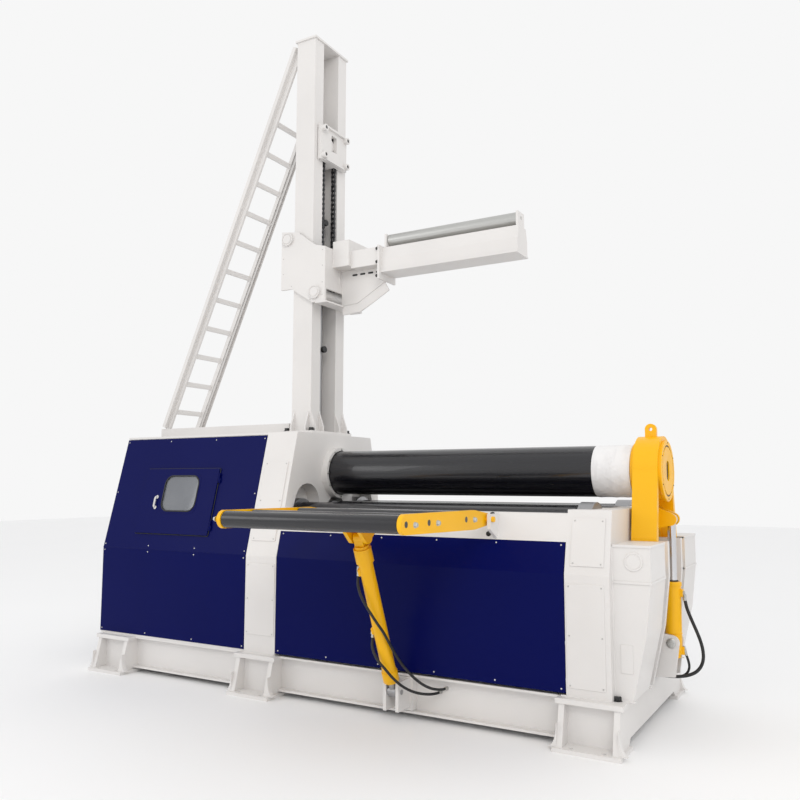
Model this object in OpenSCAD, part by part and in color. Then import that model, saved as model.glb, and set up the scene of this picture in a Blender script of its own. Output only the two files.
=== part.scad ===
// Four-roll plate rolling machine with a drop end, a front support table
// and an overhead arm that a chain crosshead lifts along a mast.
// X runs along the rolls, from the drive housing to the drop end, Z is up.
// The origin is on the floor, under the drive frame, in the rolls' middle plane.

/* [Bed] */
// Clear length between the two frames' facing faces
bed_l = 2500; // [2000:50:3200]
// Thickness of the drive frame along the rolls
drive_w = 330; // [280:10:400]
// Thickness of the drop-end frame along the rolls
end_w = 310; // [260:10:380]
// Length of the drive housing beside the drive frame
housing_l = 1806; // [1500:2:2200]
// Half depth of the frames up to their bend
frame_half = 871; // [820:1:950]
// Half depth of the drive frame at its top
top_half = 600; // [560:5:640]
// Height of the bend between upright and sloping faces
bend_z = 1135; // [1080:5:1160]
// Height of the drive frame and of the housing
drive_top_z = 2207; // [2150:1:2350]
// Height of the drop-end frame
end_top_z = 1572; // [1550:1:1600]
// Thickness of the blue sheet panels
sheet_t = 6; // [4:1:10]

/* [Base] */
// Height of the base
base_h = 327; // [280:1:380]
// Half length of the cross beams' foot plates
foot_half = 1023; // [980:1:1100]
// Width of the two cross beams on the drive side
beam_w = 433; // [400:1:480]
// Width of the cross beam under the drop end
end_beam_w = 457; // [420:1:500]
// Thickness of the foot plates
foot_t = 28; // [20:1:40]
// Thickness of the beams' top plates
cap_t = 34; // [24:1:44]
// How far the foot plates pass the top plates
foot_lap = 84; // [60:2:110]
// Radius of the anchor bolt holes
anchor_r = 14; // [10:1:20]
// Half distance of the anchor holes along the rolls
anchor_half = 110; // [80:5:130]
// Distance from an anchor hole to the foot plate's end
anchor_edge = 45; // [35:1:60]
// Distance from the floor to the rails
rail_z = 45; // [30:5:80]

/* [Rolls] */
// Diameter of the top roll
top_roll_d = 400; // [360:5:420]
// Height of the top roll's axis
axis_z = 1850; // [1830:5:1880]
// Diameter of the bottom roll
low_roll_d = 340; // [300:5:350]
// Diameter of the side rolls
side_roll_d = 300; // [240:5:310]
// Open gap between top and bottom roll, with the bottom roll lowered
pinch_gap = 60; // [40:5:80]
// Lean of the side rolls' guides from upright, in degrees
guide_lean = 20; // [10:1:25]
// Radius of the side rolls' round bearing blocks
block_r = 182; // [170:1:190]
// Radius of the bottom roll's round bearing blocks
low_block_r = 165; // [150:1:168]
// Stroke of the side rolls' bearing blocks
side_stroke = 140; // [100:5:150]

/* [Drop end] */
// Thickness of the drop-end yoke along the rolls
yoke_w = 180; // [150:5:200]
// Gap between the frame and the yoke
yoke_gap = 20; // [15:1:30]
// Radius of the yoke's round head
yoke_r = 262; // [240:2:280]
// Half width of the yoke at its legs
yoke_half = 350; // [330:5:370]
// Thickness of the legs across the rolls
leg_t = 90; // [70:5:110]
// Radius of the hinge pins
hinge_r = 45; // [35:1:55]
// Height of the hinge pins
hinge_z = 1235; // [1200:5:1260]

/* [Support table] */
// Clear length of the table rollers
table_l = 1386; // [1000:10:1600]
// Distance from the table's hinge to its last roller
table_reach = 1170; // [1000:10:1300]
// Diameter of the table rollers
table_roller_d = 115; // [90:5:125]
// Height of the table's hinge
table_z = 1497; // [1470:1:1510]

/* [Mast] */
// Height of the mast's top
mast_top_z = 6100; // [5600:10:6400]
// Depth of the mast along the rolls
mast_w = 220; // [180:5:260]
// Half width of the mast across the rolls
mast_half = 265; // [240:5:300]
// Width of each of the mast's two uprights
upright_w = 140; // [110:5:150]
// Length of the overhead arm's beam
arm_l = 1340; // [1000:10:1500]
// Height of the overhead arm's top face
arm_z = 3925; // [3700:5:4000]
// Number of rungs of the mast's ladder
rungs = 11; // [8:1:12]

/* [Hidden] */
eps = 0.01;
$fn = 64;
fit = 0.06;
slot_gap = 0.5;
slot_end = 5;

// --- places along the rolls
drive_x0 = -drive_w / 2;
drive_x1 = drive_w / 2;
end_x0 = drive_x1 + bed_l;
end_x1 = end_x0 + end_w;
housing_x0 = drive_x0 - housing_l;
beam_in = 39;
cheek_in = 22;
rail_inset = 70;
left_beam_x = housing_x0 + beam_in + beam_w / 2;
end_beam_x = (end_x0 + end_x1) / 2 + 16;

// --- rolls
low_axis_z = axis_z - top_roll_d / 2 - pinch_gap - low_roll_d / 2;
guide_top_y = 446;
guide_top_z = 1570;
side_y = guide_top_y + sin(guide_lean) * side_stroke;
side_z = guide_top_z - cos(guide_lean) * side_stroke;
block_t = 110;
slot_depth = 135;
neck_r = 150;
low_neck_r = 95;
ring_l = 70;
ring_floor = 20;
neck_root_r = 110;
neck_tip_r = 94;
neck_tip_l = 110;
bearing_r = 165;
neck_in = 60;
ring_r = top_roll_d / 2 + 34;
low_stroke = pinch_gap - 8;

// --- drop end
ear_gap = 5;
yoke_x0 = end_x1 + yoke_gap;
yoke_x1 = yoke_x0 + yoke_w;
hinge_x = end_x1 + 145;
lug_x = yoke_x1 + 35;
lug_z = 1490;
foot_pin_x = lug_x - 10;
foot_pin_z = 600;
drop_tube_r = 58;
drop_rod_r = 30;
drop_tube_l = 410;
bearing_l = yoke_w - 31;
hub_r = 215;
hub_out = 30;
neck_play = 4;

// --- support table
table_x = end_x0 - 1280;
hinge_y = -905;
arm_t = 30;
arm_h = 135;
roller_ys = [table_reach, table_reach - 290, table_reach - 830];
table_lug_y = hinge_y - 560;
table_lug_z = table_z - 122;
table_foot_y = -990;
table_foot_z = 225;
table_tube_r = 52;
table_rod_r = 30;

// --- mast
mast_x0 = drive_x0;
mast_x1 = mast_x0 + mast_w;
mast_z0 = drive_top_z + 30;
plate_t = 25;
carriage_gap = 6;
carriage_roller_r = 52;
arm_x0 = mast_x1 + 665;

function frame_slope_y(z, half, top, z1) = half - (z - bend_z) * (half - top) / (z1 - bend_z);

// Side view outline of a frame or housing: upright to the bend, then leaning in
module side_outline(half, top, z0, z1) {
    polygon([[-half, z0], [half, z0], [half, bend_z], [top, z1], [-top, z1], [-half, bend_z]]);
}

// Extrudes a Y-Z drawing along X, from x to x + l
module along_x(x, l) {
    translate([x, 0, 0]) rotate([90, 0, 90]) linear_extrude(l) children();
}

// Extrudes an X-Z drawing along Y, from y to y + l
module along_y(y, l) {
    translate([0, y + l, 0]) rotate([90, 0, 0]) linear_extrude(l) children();
}

// Round bar along X
module bar_x(x, y, z, r, l) {
    translate([x, y, z]) rotate([0, 90, 0]) cylinder(r = r, h = l);
}

// Round bar along Y
module bar_y(x, y, z, r, l) {
    translate([x, y + l, z]) rotate([90, 0, 0]) cylinder(r = r, h = l);
}

module block(x0, x1, y0, y1, z0, z1) {
    translate([x0, y0, z0]) cube([x1 - x0, y1 - y0, z1 - z0]);
}

// --- base
module cross_beam(x, w) {
    web_half = foot_half - foot_lap;
    cheek_t = 40;
    foot_l = 300;
    arch_z = 70;
    block(x - w / 2, x + w / 2, -web_half, web_half, base_h - cap_t, base_h);
    for (s = [-1, 1]) difference() {
        block(x - w / 2, x + w / 2, s > 0 ? foot_half - foot_l : -foot_half,
            s > 0 ? foot_half : foot_l - foot_half, 0, foot_t);
        for (d = [-1, 1]) translate([x + d * anchor_half, s * (foot_half - anchor_edge), -1])
            cylinder(r = anchor_r, h = foot_t + 2);
    }
    for (s = [-1, 1]) along_x(x + s * (w / 2 - cheek_in - cheek_t / 2) - cheek_t / 2, cheek_t) difference() {
        polygon([[30 - foot_half, foot_t - eps], [foot_half - 30, foot_t - eps],
            [web_half - 12, base_h - cap_t + eps], [12 - web_half, base_h - cap_t + eps]]);
        polygon([[foot_l - 40 - foot_half, -1], [foot_half - foot_l + 40, -1],
            [foot_half - foot_l - 30, arch_z], [foot_l + 30 - foot_half, arch_z]]);
    }
    block(x - w / 2 + cheek_in + cheek_t - eps, x + w / 2 - cheek_in - cheek_t + eps, arch_z - web_half,
        web_half - arch_z, arch_z, base_h - cap_t + eps);
    for (s = [-1, 1]) block(x - w / 2 + cheek_in + cheek_t - eps, x + w / 2 - cheek_in - cheek_t + eps,
        s > 0 ? web_half - arch_z - 20 : arch_z - web_half, s > 0 ? web_half - arch_z : arch_z + 20 - web_half,
        foot_t - eps, arch_z + 1);
}

module cross_beams() {
    color("whitesmoke") {
        cross_beam(left_beam_x, beam_w);
        cross_beam(0, beam_w);
        cross_beam(end_beam_x, end_beam_w);
    }
}

// Channel rail along X, its flanges turned outwards, between two beams' top plates
module rail(x0, x1, s) {
    flange = 60;
    t = 16;
    web_y = frame_half - rail_inset;
    along_x(x0, x1 - x0) scale([s, 1]) translate([web_y, 0])
        union() {
            translate([-t, rail_z]) square([t, base_h - rail_z]);
            translate([-t, base_h - t]) square([flange + t, t]);
            translate([-t, rail_z]) square([flange + t, t]);
        }
    along_x(x0 - cheek_in, x1 - x0 + 2 * cheek_in) scale([s, 1]) translate([web_y, 0])
        union() {
            translate([-t, rail_z]) square([t, base_h - cap_t - rail_z]);
            translate([-t, rail_z]) square([flange + t, t]);
        }
}

module base_rails() {
    color("whitesmoke")
        for (s = [-1, 1]) {
            rail(left_beam_x + beam_w / 2, -beam_w / 2, s);
            rail(beam_w / 2, end_beam_x - end_beam_w / 2, s);
        }
}

// --- frames
// Outline of a slot with round ends, from (y0, z0) to (y1, z1)
slot_steps = 24;
function slot_points(y0, z0, y1, z1, r) =
    let (a = atan2(z1 - z0, y1 - y0), step = 180 / slot_steps)
    concat([for (i = [0:slot_steps]) [y1, z1] + r * [cos(a - 90 + i * step), sin(a - 90 + i * step)]],
        [for (i = [0:slot_steps]) [y0, z0] + r * [cos(a + 90 + i * step), sin(a + 90 + i * step)]]);

// Slots in which the bearing blocks slide, of a given length above their lowest place
module guide_slots(x, depth, side_l, low_l) {
    for (s = [-1, 1])
        along_x(x, depth) polygon(slot_points(s * side_y, side_z, s * (side_y - sin(guide_lean) * side_l),
            side_z + cos(guide_lean) * side_l, block_r + slot_gap));
    along_x(x, depth) polygon(slot_points(0, low_axis_z, 0, low_axis_z + low_l, low_block_r + slot_gap));
}

module drive_frame() {
    color("whitesmoke") difference() {
        along_x(drive_x0, drive_w) side_outline(frame_half, top_half, base_h, drive_top_z);
        bar_x(drive_x0 - 1, 0, axis_z, neck_r + fit, drive_w + 2);
        guide_slots(drive_x1 - slot_depth, slot_depth + 1, side_stroke, low_stroke);
    }
}

// Flange round the top roll's end, bolted to the drive frame
module roll_ring() {
    color("whitesmoke") difference() {
        bar_x(drive_x1, 0, axis_z, ring_r, ring_l - 10);
        bar_x(drive_x1 - 1, 0, axis_z, neck_r + fit, ring_l);
        bar_x(drive_x1 + ring_floor, 0, axis_z, top_roll_d / 2 + 6, ring_l);
    }
}

module end_frame() {
    color("whitesmoke") difference() {
        along_x(end_x0, end_w)
            side_outline(frame_half, frame_slope_y(end_top_z, frame_half, top_half, drive_top_z),
                base_h, end_top_z);
        guide_slots(end_x0 - 1, slot_depth + 1, side_stroke + 180, end_top_z - low_axis_z + 60);
    }
}

module hinge_ears() {
    color("whitesmoke") difference() {
        for (s = [-1, 1]) ear_pair(s);
        for (s = [-1, 1]) bar_y(hinge_x, s > 0 ? 200 : -820, hinge_z, hinge_r + fit, 620);
    }
}

// Two hinge ears, each with the tapering rib that carries it
module ear_pair(s) {
    top = hinge_z + 105;
    low = hinge_z - 140;
    x1 = hinge_x + 110;
    for (e = [[yoke_half + ear_gap, frame_half - 70], [yoke_half - leg_t - ear_gap - 50, yoke_half - leg_t - ear_gap]])
        along_y(s > 0 ? e[0] : -e[1], e[1] - e[0]) difference() {
            polygon([[end_x1, base_h], [end_x1 + 120, base_h], [x1 - 40, base_h + 420], [x1, low],
                [x1, top], [end_x1, top]]);
        }
}

// --- housing
door_x0 = housing_x0 + 400;
door_w = 925;
door_z0 = 1280;
door_z1 = 1882;
slope_a = atan2(frame_half - top_half, drive_top_z - bend_z);
function slope_y(z) = frame_slope_y(z, frame_half, top_half, drive_top_z);
slope_l = (drive_top_z - bend_z) / cos(slope_a);
door_l0 = (door_z0 - bend_z) / cos(slope_a);
door_l1 = (door_z1 - bend_z) / cos(slope_a);
sheet_in = sheet_t / cos(slope_a);
door_t = 18;
door_gap = 1;
door_hinge_out = 14;
door_hinge_in = 10;
door_hinge_x = door_x0 + door_w + door_hinge_in;
door_hinge_ls = [door_l0 + 90, door_l1 - 90];
knuckle_r = 8;
knuckle_l = 45;

// Places a flat thing on the front slope: x along the machine, y up the slope, z outward
module on_slope() {
    translate([0, -frame_half, bend_z]) rotate([90 - slope_a, 0, 0]) children();
}

// Blocks round the bay behind the access door, a hair apart from each other
bay_x0 = door_x0 + 40;
bay_x1 = door_x0 + door_w - 40;
bay_l0 = door_l0 + 40;
bay_l1 = door_l1 - 40;
bay_depth = 360;
seam = 0.3;
module housing() {
    color("gainsboro") {
        housing_part(housing_x0 + sheet_t, bay_x0);
        housing_part(bay_x1, drive_x0);
        bay_part(-slope_l, 2 * slope_l, -4 * bay_depth - frame_half, -bay_depth);
        bay_part(-slope_l, bay_l0, seam - bay_depth, bay_depth);
        bay_part(bay_l1, 2 * slope_l, seam - bay_depth, bay_depth);
    }
}

module housing_part(x0, x1) {
    along_x(x0, x1 - x0)
        side_outline(frame_half - sheet_in, top_half - sheet_in, base_h, drive_top_z - 20);
}

// The part of the housing at the bay between two lines across the slope and two depths
module bay_part(l0, l1, d0, d1) {
    intersection() {
        housing_part(bay_x0 + seam, bay_x1 - seam);
        on_slope() translate([bay_x0, l0, d0]) cube([bay_x1 - bay_x0, l1 - l0, d1 - d0]);
    }
}

module housing_panels() {
    gap = 4;
    color("navy") {
        block(housing_x0 + gap, drive_x0 - gap, -frame_half, sheet_t - frame_half, base_h + 20, bend_z - gap);
        block(housing_x0 + gap, drive_x0 - gap, frame_half - sheet_t, frame_half, base_h + 20, bend_z - gap);
        difference() {
            on_slope() translate([housing_x0 + gap, gap, -sheet_t])
                cube([housing_l - 2 * gap, slope_l - 30, sheet_t]);
            on_slope() translate([door_x0 + 30, door_l0 + 30, -2 * sheet_t])
                cube([door_w - 60, door_l1 - door_l0 - 60, 3 * sheet_t]);
        }
        mirror([0, 1, 0]) on_slope() translate([housing_x0 + gap, gap, -sheet_t])
            cube([housing_l - 2 * gap, slope_l - 30, sheet_t]);
        along_x(housing_x0, sheet_t)
            side_outline(frame_half - sheet_in - gap, top_half - sheet_in - gap, base_h + 20, drive_top_z - 24);
    }
}

module housing_deck() {
    beam_h = 110;
    color("whitesmoke") {
        block(housing_x0, drive_x0, -top_half, top_half, drive_top_z - 20, drive_top_z);
        block(housing_x0 + 60, mast_x0 - 60, -230, 230, drive_top_z, drive_top_z + beam_h);
    }
}

module access_door() {
    color("navy") on_slope() {
        translate([door_x0, door_l0, door_gap]) difference() {
            cube([door_w, door_l1 - door_l0, door_t]);
            translate([275, 210, -1]) cube([435, 345, door_t + 2]);
        }
        for (l = door_hinge_ls) difference() {
            union() {
                knuckle(l);
                translate([door_x0 + door_w - 1, l, door_hinge_out - 3]) cube([door_hinge_in + 1, knuckle_l, 6]);
            }
            translate([door_hinge_x, l + knuckle_l + 1, door_hinge_out]) rotate([90, 0, 0])
                cylinder(r = 4 + fit, h = knuckle_l + 2);
        }
    }
}

// Hinge knuckle along the slope, starting at height l up the slope
module knuckle(l) {
    translate([door_hinge_x, l + knuckle_l, door_hinge_out]) rotate([90, 0, 0])
        cylinder(r = knuckle_r, h = knuckle_l);
}

// Lower knuckles with their pins, welded to the panel beside the door
module door_hinges() {
    color("navy") on_slope() for (l = door_hinge_ls) {
        knuckle(l - knuckle_l - 0.3);
        translate([door_hinge_x - 3, l - knuckle_l - 0.3, 0.3]) cube([knuckle_r + 12, knuckle_l, door_hinge_out]);
        translate([door_hinge_x, l + knuckle_l - 5, door_hinge_out]) rotate([90, 0, 0])
            cylinder(r = 4, h = knuckle_l + 10);
    }
}

module door_window() {
    color("lightgray") on_slope() translate([door_x0 + 275 + 0.3, door_l0 + 210.3, 5])
        cube([434.4, 344.4, 8]);
}

// --- bed between the frames
bed_beam_h = 195;
module bed_beams() {
    z1 = 1545;
    z0 = z1 - bed_beam_h;
    color("whitesmoke")
        for (s = [-1, 1])
            along_x(drive_x1, bed_l) scale([s, 1])
                polygon([[slope_y(z0), z0], [slope_y(z1), z1], [slope_y(z1) - 100, z1], [slope_y(z1) - 100, z0]]);
}

module bed_panels() {
    z1 = 1545 - bed_beam_h;
    t = sheet_t;
    color("navy")
        for (s = [-1, 1])
            along_x(drive_x1 + 4, bed_l - 8) scale([s, 1])
                polygon([[frame_half, base_h + 20], [frame_half, bend_z], [slope_y(z1), z1],
                    [slope_y(z1) - t, z1], [frame_half - t, bend_z], [frame_half - t, base_h + 20]]);
}

module frame_covers() {
    t = 8;
    color("whitesmoke")
        for (c = [[drive_x0, drive_w, 130, 700], [end_x0, end_w, 60, 330]])
            on_slope() translate([c[0] + 40, c[2], 0]) cube([c[1] - 80, c[3], t]);
}

// --- mast
mast_plate_t = 20;
module mast() {
    color("whitesmoke") {
        for (s = [-1, 1])
            block(mast_x0, mast_x1, s > 0 ? mast_half - upright_w : -mast_half, s > 0 ? mast_half : upright_w - mast_half,
                mast_z0 - 1, mast_top_z - 20 + 1);
        block(mast_x0, mast_x0 + 20, upright_w - mast_half - 1, mast_half - upright_w + 1, mast_z0 - 1, mast_top_z - 19);
        block(mast_x0 - 60, mast_x1 + 60, -mast_half - 60, mast_half + 60, drive_top_z, mast_z0);
        block(mast_x0 - 15, mast_x1 + 15, -mast_half - 15, mast_half + 15, mast_top_z - 20, mast_top_z);
    }
}

mast_tube_r = 50;
mast_rod_r = 34;
mast_tube_x = mast_x0 + 90;
mast_tube_top = 4350;
module mast_cylinder() {
    color("gray") difference() {
        translate([mast_tube_x, 0, mast_z0]) cylinder(r = mast_tube_r, h = mast_tube_top - mast_z0);
        translate([mast_tube_x, 0, mast_z0 + 60]) cylinder(r = mast_rod_r + fit, h = mast_tube_top);
    }
}

ladder_x0 = housing_x0 + 140;
ladder_z0 = drive_top_z + 110;
ladder_z1 = mast_top_z - 60;
ladder_l = norm([mast_x0 - ladder_x0, ladder_z1 - ladder_z0]);
ladder_a = atan2(mast_x0 - ladder_x0, ladder_z1 - ladder_z0);
ladder_half = 220;
ladder_t = 24;
rung_pitch = 313;
rung_drop = 118;
module ladder() {
    w = 60;
    color("whitesmoke") intersection() {
        translate([ladder_x0, 0, ladder_z0]) rotate([0, ladder_a, 0])
            for (s = [-1, 1]) translate([-w / 2, s > 0 ? ladder_half - ladder_t : -ladder_half, -100])
                cube([w, ladder_t, ladder_l + 200]);
        block(housing_x0, mast_x0, -300, 300, ladder_z0, mast_top_z - mast_plate_t);
    }
}

module ladder_rungs() {
    color("whitesmoke") translate([ladder_x0, 0, ladder_z0]) rotate([0, ladder_a, 0])
        for (i = [1:rungs]) translate([0, ladder_t - ladder_half, i * rung_pitch - rung_drop]) rotate([-90, 0, 0])
            cylinder(r = 13, h = 2 * (ladder_half - ladder_t));
}

// --- rolls
module top_roll() {
    color("black") {
        bar_x(drive_x0 + 40, 0, axis_z, neck_r, drive_w - 20 + eps);
        bar_x(drive_x1 + ring_floor, 0, axis_z, top_roll_d / 2, end_x0 - drive_x1 - ring_floor + eps);
        bar_x(end_x0, 0, axis_z, top_roll_d / 2 - 8, end_w - 40);
    }
}

// Tapering neck that the drop-end bearing carries
module top_roll_neck() {
    color("silver") {
        bar_x(end_x1 - 40, 0, axis_z, neck_root_r, yoke_x0 - end_x1 + 40 + eps);
        translate([yoke_x0, 0, axis_z]) rotate([0, 90, 0])
            cylinder(r1 = neck_root_r, r2 = neck_tip_r, h = neck_tip_l);
    }
}

module roll_sleeve() {
    color("white") difference() {
        bar_x(end_x0 + 0.5, 0, axis_z, top_roll_d / 2 + 2, end_w - 40);
        bar_x(end_x0, 0, axis_z, top_roll_d / 2 - 8, end_w);
    }
}

module low_roll(y, z, r, inset = 12) {
    color("black") {
        bar_x(drive_x1 + inset, y, z, r, bed_l - inset - 12);
        bar_x(drive_x1 - slot_depth + neck_in, y, z, low_neck_r, bed_l + 2 * (slot_depth - neck_in));
    }
}

module blocks(y, z, r = block_r) {
    color("dimgray")
        for (x = [drive_x1 - slot_depth + slot_end, end_x0 + slot_depth - slot_end - block_t]) difference() {
            bar_x(x, y, z, r, block_t);
            bar_x(x - 1, y, z, low_neck_r + fit, block_t + 2);
        }
}

module bottom_blocks() { blocks(0, low_axis_z, low_block_r); }
module bottom_roll() { low_roll(0, low_axis_z, low_roll_d / 2, ring_l + 5); }
module front_blocks() { blocks(-side_y, side_z); }
module front_side_roll() { low_roll(-side_y, side_z, side_roll_d / 2); }
module rear_blocks() { blocks(side_y, side_z); }
module rear_side_roll() { low_roll(side_y, side_z, side_roll_d / 2); }

// --- drop end
module yoke() {
    leg_r = 85;
    pocket = 105;
    eye_z = axis_z + yoke_r + 55;
    color("orange") difference() {
        union() {
            along_x(yoke_x0, yoke_w) yoke_outline();
            for (s = [-1, 1]) {
                bar_y(hinge_x, s > 0 ? yoke_half - leg_t : -yoke_half, hinge_z, leg_r, leg_t);
                block(yoke_x0 + 10, yoke_x1, s > 0 ? yoke_half - leg_t : -yoke_half,
                    s > 0 ? yoke_half : leg_t - yoke_half, hinge_z, hinge_z + 130);
                bar_y(hinge_x, s > 0 ? 220 : 64 - frame_half, hinge_z, hinge_r, frame_half - 284);
            }
            along_y(-20, 40) {
                translate([hinge_x - 40, eye_z]) circle(r = 42);
                translate([hinge_x - 82, axis_z + yoke_r - 40]) square([84, 95]);
            }
        }
        along_x(yoke_x1 - pocket, pocket + 1)
            polygon([[40 - yoke_r, axis_z], [yoke_r - 40, axis_z], [yoke_half - leg_t + 30, hinge_z + 100],
                [leg_t - 30 - yoke_half, hinge_z + 100]]);
        bar_y(hinge_x - 40, -30, eye_z, 14, 60);
        bar_x(yoke_x0 - 1, 0, axis_z, hub_r + fit, yoke_w + 2);
    }
    color("orange") for (s = [-1, 1]) lug_ear(s, yoke_x1 - pocket);
}

// Round head running out into two legs, with an arch between the legs
module yoke_outline() {
    difference() {
        union() {
            translate([0, axis_z]) circle(r = yoke_r, $fn = 96);
            polygon([[-yoke_r, axis_z], [yoke_r, axis_z], [yoke_half, hinge_z + 110],
                [-yoke_half, hinge_z + 110]]);
        }
        translate([leg_t - yoke_half, hinge_z]) square([2 * (yoke_half - leg_t), 165]);
    }
}

// Ear for the drop cylinder's rod, standing out of the yoke's web
module lug_ear(s, x0) {
    along_y(s > 0 ? 42 : -72, 30) {
        translate([lug_x, lug_z]) circle(r = 48);
        polygon([[x0 - 1, lug_z - 80], [lug_x + 30, lug_z - 38], [lug_x + 20, lug_z + 44], [x0 - 1, lug_z + 110]]);
    }
}

// Round hub set into the yoke, closed at the outer end
module yoke_hub() {
    color("orange") difference() {
        bar_x(yoke_x0 - hub_out, 0, axis_z, hub_r, yoke_w + hub_out);
        bar_x(yoke_x0 - hub_out - 1, 0, axis_z, bearing_r, bearing_l + hub_out + 1);
    }
}

// Bearing that sits in the hub's bore and takes the top roll's neck
module yoke_bearing() {
    color("dimgray") difference() {
        bar_x(yoke_x0, 0, axis_z, bearing_r, bearing_l);
        bar_x(yoke_x0 - 1, 0, axis_z, neck_root_r + neck_play, bearing_l + 2);
    }
}

module bearing_cover() {
    color("orange") bar_x(yoke_x1, 0, axis_z, 170, 22);
}

// Cylinder along a line in the X-Z plane, from its foot pin up
module drop_barrel() {
    a = atan2(lug_x - foot_pin_x, lug_z - foot_pin_z);
    color("orange") translate([foot_pin_x, 0, foot_pin_z]) rotate([0, a, 0]) {
        difference() {
            union() {
                translate([0, 0, -90]) cylinder(r = drop_tube_r, h = drop_tube_l + 90);
                rotate([90, 0, 0]) translate([0, 0, -104]) cylinder(r = 30, h = 208);
            }
            translate([0, 0, -60]) cylinder(r = drop_rod_r + fit, h = drop_tube_l + 200);
        }
    }
}

module drop_rod() {
    a = atan2(lug_x - foot_pin_x, lug_z - foot_pin_z);
    l = norm([lug_x - foot_pin_x, lug_z - foot_pin_z]);
    color("silver") translate([foot_pin_x, 0, foot_pin_z]) rotate([0, a, 0]) {
        translate([0, 0, 300]) cylinder(r = drop_rod_r, h = l - 330);
        translate([0, 0, l]) rotate([90, 0, 0]) translate([0, 0, -32]) cylinder(r = 42, h = 64);
    }
}

module drop_foot() {
    color("whitesmoke") {
        block(end_x1, end_x1 + 60, -150, 150, base_h + 10, 690);
        for (s = [-1, 1]) difference() {
            along_y(s > 0 ? 68 : -98, 30) union() {
                translate([foot_pin_x, foot_pin_z]) circle(r = 55);
                polygon([[end_x1 + 59, 345], [foot_pin_x + 20, 360], [foot_pin_x + 54, foot_pin_z], [foot_pin_x, foot_pin_z + 55],
                    [end_x1 + 59, 675]]);
            }
            bar_y(foot_pin_x, s > 0 ? 60 : -100, foot_pin_z, 30 + fit, 40);
        }
    }
}

// --- support table
module table_brackets() {
    z0 = table_z - 140;
    z1 = table_z + 38;
    color("whitesmoke")
        for (s = [-1, 1]) translate([table_x + s * (table_l / 2 + arm_t / 2 + 45), 0, 0]) difference() {
            along_x(-12, 24)
                polygon([[hinge_y - 35, z0 + 70], [-slope_y(z0), z0], [-slope_y(z1), z1], [hinge_y - 35, z1]]);
            bar_x(-20, hinge_y, table_z, 20 + fit, 40);
        }
}

module table_frame() {
    color("orange") {
        for (s = [-1, 1]) translate([table_x + s * (table_l / 2 + arm_t / 2), 0, 0]) difference() {
            union() {
                along_x(-arm_t / 2, arm_t) {
                    translate([hinge_y, table_z]) circle(r = 45);
                    translate([hinge_y - table_reach, table_z + 10]) circle(r = arm_h / 2 - 5);
                    polygon([[hinge_y, table_z - 45], [hinge_y, table_z + 45], [hinge_y - 200, table_z + 70],
                        [hinge_y - table_reach, table_z + 72], [hinge_y - table_reach, table_z - 52],
                        [hinge_y - 200, table_z - 65]]);
                }
                bar_x(s > 0 ? 0 : -75, hinge_y, table_z, 20, 75);
            }
            for (d = roller_ys) bar_x(-arm_t, hinge_y - d, table_z + 10, 20 + fit, 2 * arm_t);
        }
        block(table_x - table_l / 2 - 1, table_x + table_l / 2 + 1, hinge_y - 700, hinge_y - 420, table_z - 62,
            table_z - 42);
        for (s = [-1, 1]) along_x(table_x + (s > 0 ? 46 : -76), 30) {
            translate([table_lug_y, table_lug_z]) circle(r = 45);
            polygon([[hinge_y - 690, table_z - 61], [hinge_y - 430, table_z - 61], [table_lug_y + 45, table_lug_z],
                [table_lug_y - 30, table_lug_z - 34]]);
        }
    }
}

module table_roller(d) {
    y = hinge_y - d;
    color("black") {
        bar_x(table_x - table_l / 2 + 6, y, table_z + 10, table_roller_d / 2, table_l - 12);
        bar_x(table_x - table_l / 2 - arm_t, y, table_z + 10, 20, table_l + 2 * arm_t);
    }
}

module table_roller_outer() { table_roller(roller_ys[0]); }
module table_roller_middle() { table_roller(roller_ys[1]); }
module table_roller_inner() { table_roller(roller_ys[2]); }

table_cyl_a = atan2(table_foot_y - table_lug_y, table_lug_z - table_foot_z);
table_cyl_l = norm([table_foot_y - table_lug_y, table_lug_z - table_foot_z]);

module on_table_cylinder() {
    translate([table_x, table_foot_y, table_foot_z]) rotate([table_cyl_a, 0, 0]) children();
}

module table_barrel() {
    color("orange") on_table_cylinder() difference() {
        union() {
            translate([0, 0, 90]) cylinder(r = table_tube_r, h = table_cyl_l - 90 - 60);
            translate([0, 0, table_cyl_l - 190]) cylinder(r = table_tube_r + 12, h = 110);
            translate([-36, 0, table_cyl_l]) rotate([0, 90, 0]) cylinder(r = 36, h = 72);
            translate([-36, -32, table_cyl_l - 90]) cube([72, 64, 90]);
        }
        translate([0, 0, 60]) cylinder(r = table_rod_r + fit, h = table_cyl_l - 60 - 150);
    }
}

module table_rod() {
    color("silver") on_table_cylinder() {
        translate([0, 0, 30]) cylinder(r = table_rod_r, h = 760);
        translate([-34, 0, 0]) rotate([0, 90, 0]) cylinder(r = 40, h = 68);
        translate([-70, 0, 0]) rotate([0, 90, 0]) cylinder(r = 18, h = 140);
    }
}

module table_foot() {
    color("whitesmoke") {
        block(table_x - 90, table_x + 90, 10 - frame_half, 70 - frame_half, rail_z + 20, base_h - 20);
        for (s = [-1, 1]) difference() {
            block(table_x + (s > 0 ? 40 : -66), table_x + (s > 0 ? 66 : -40), table_foot_y - 45,
                11 - frame_half, 90, 300);
            bar_x(table_x - 100, table_foot_y, table_foot_z, 18 + fit, 200);
        }
    }
}

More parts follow.
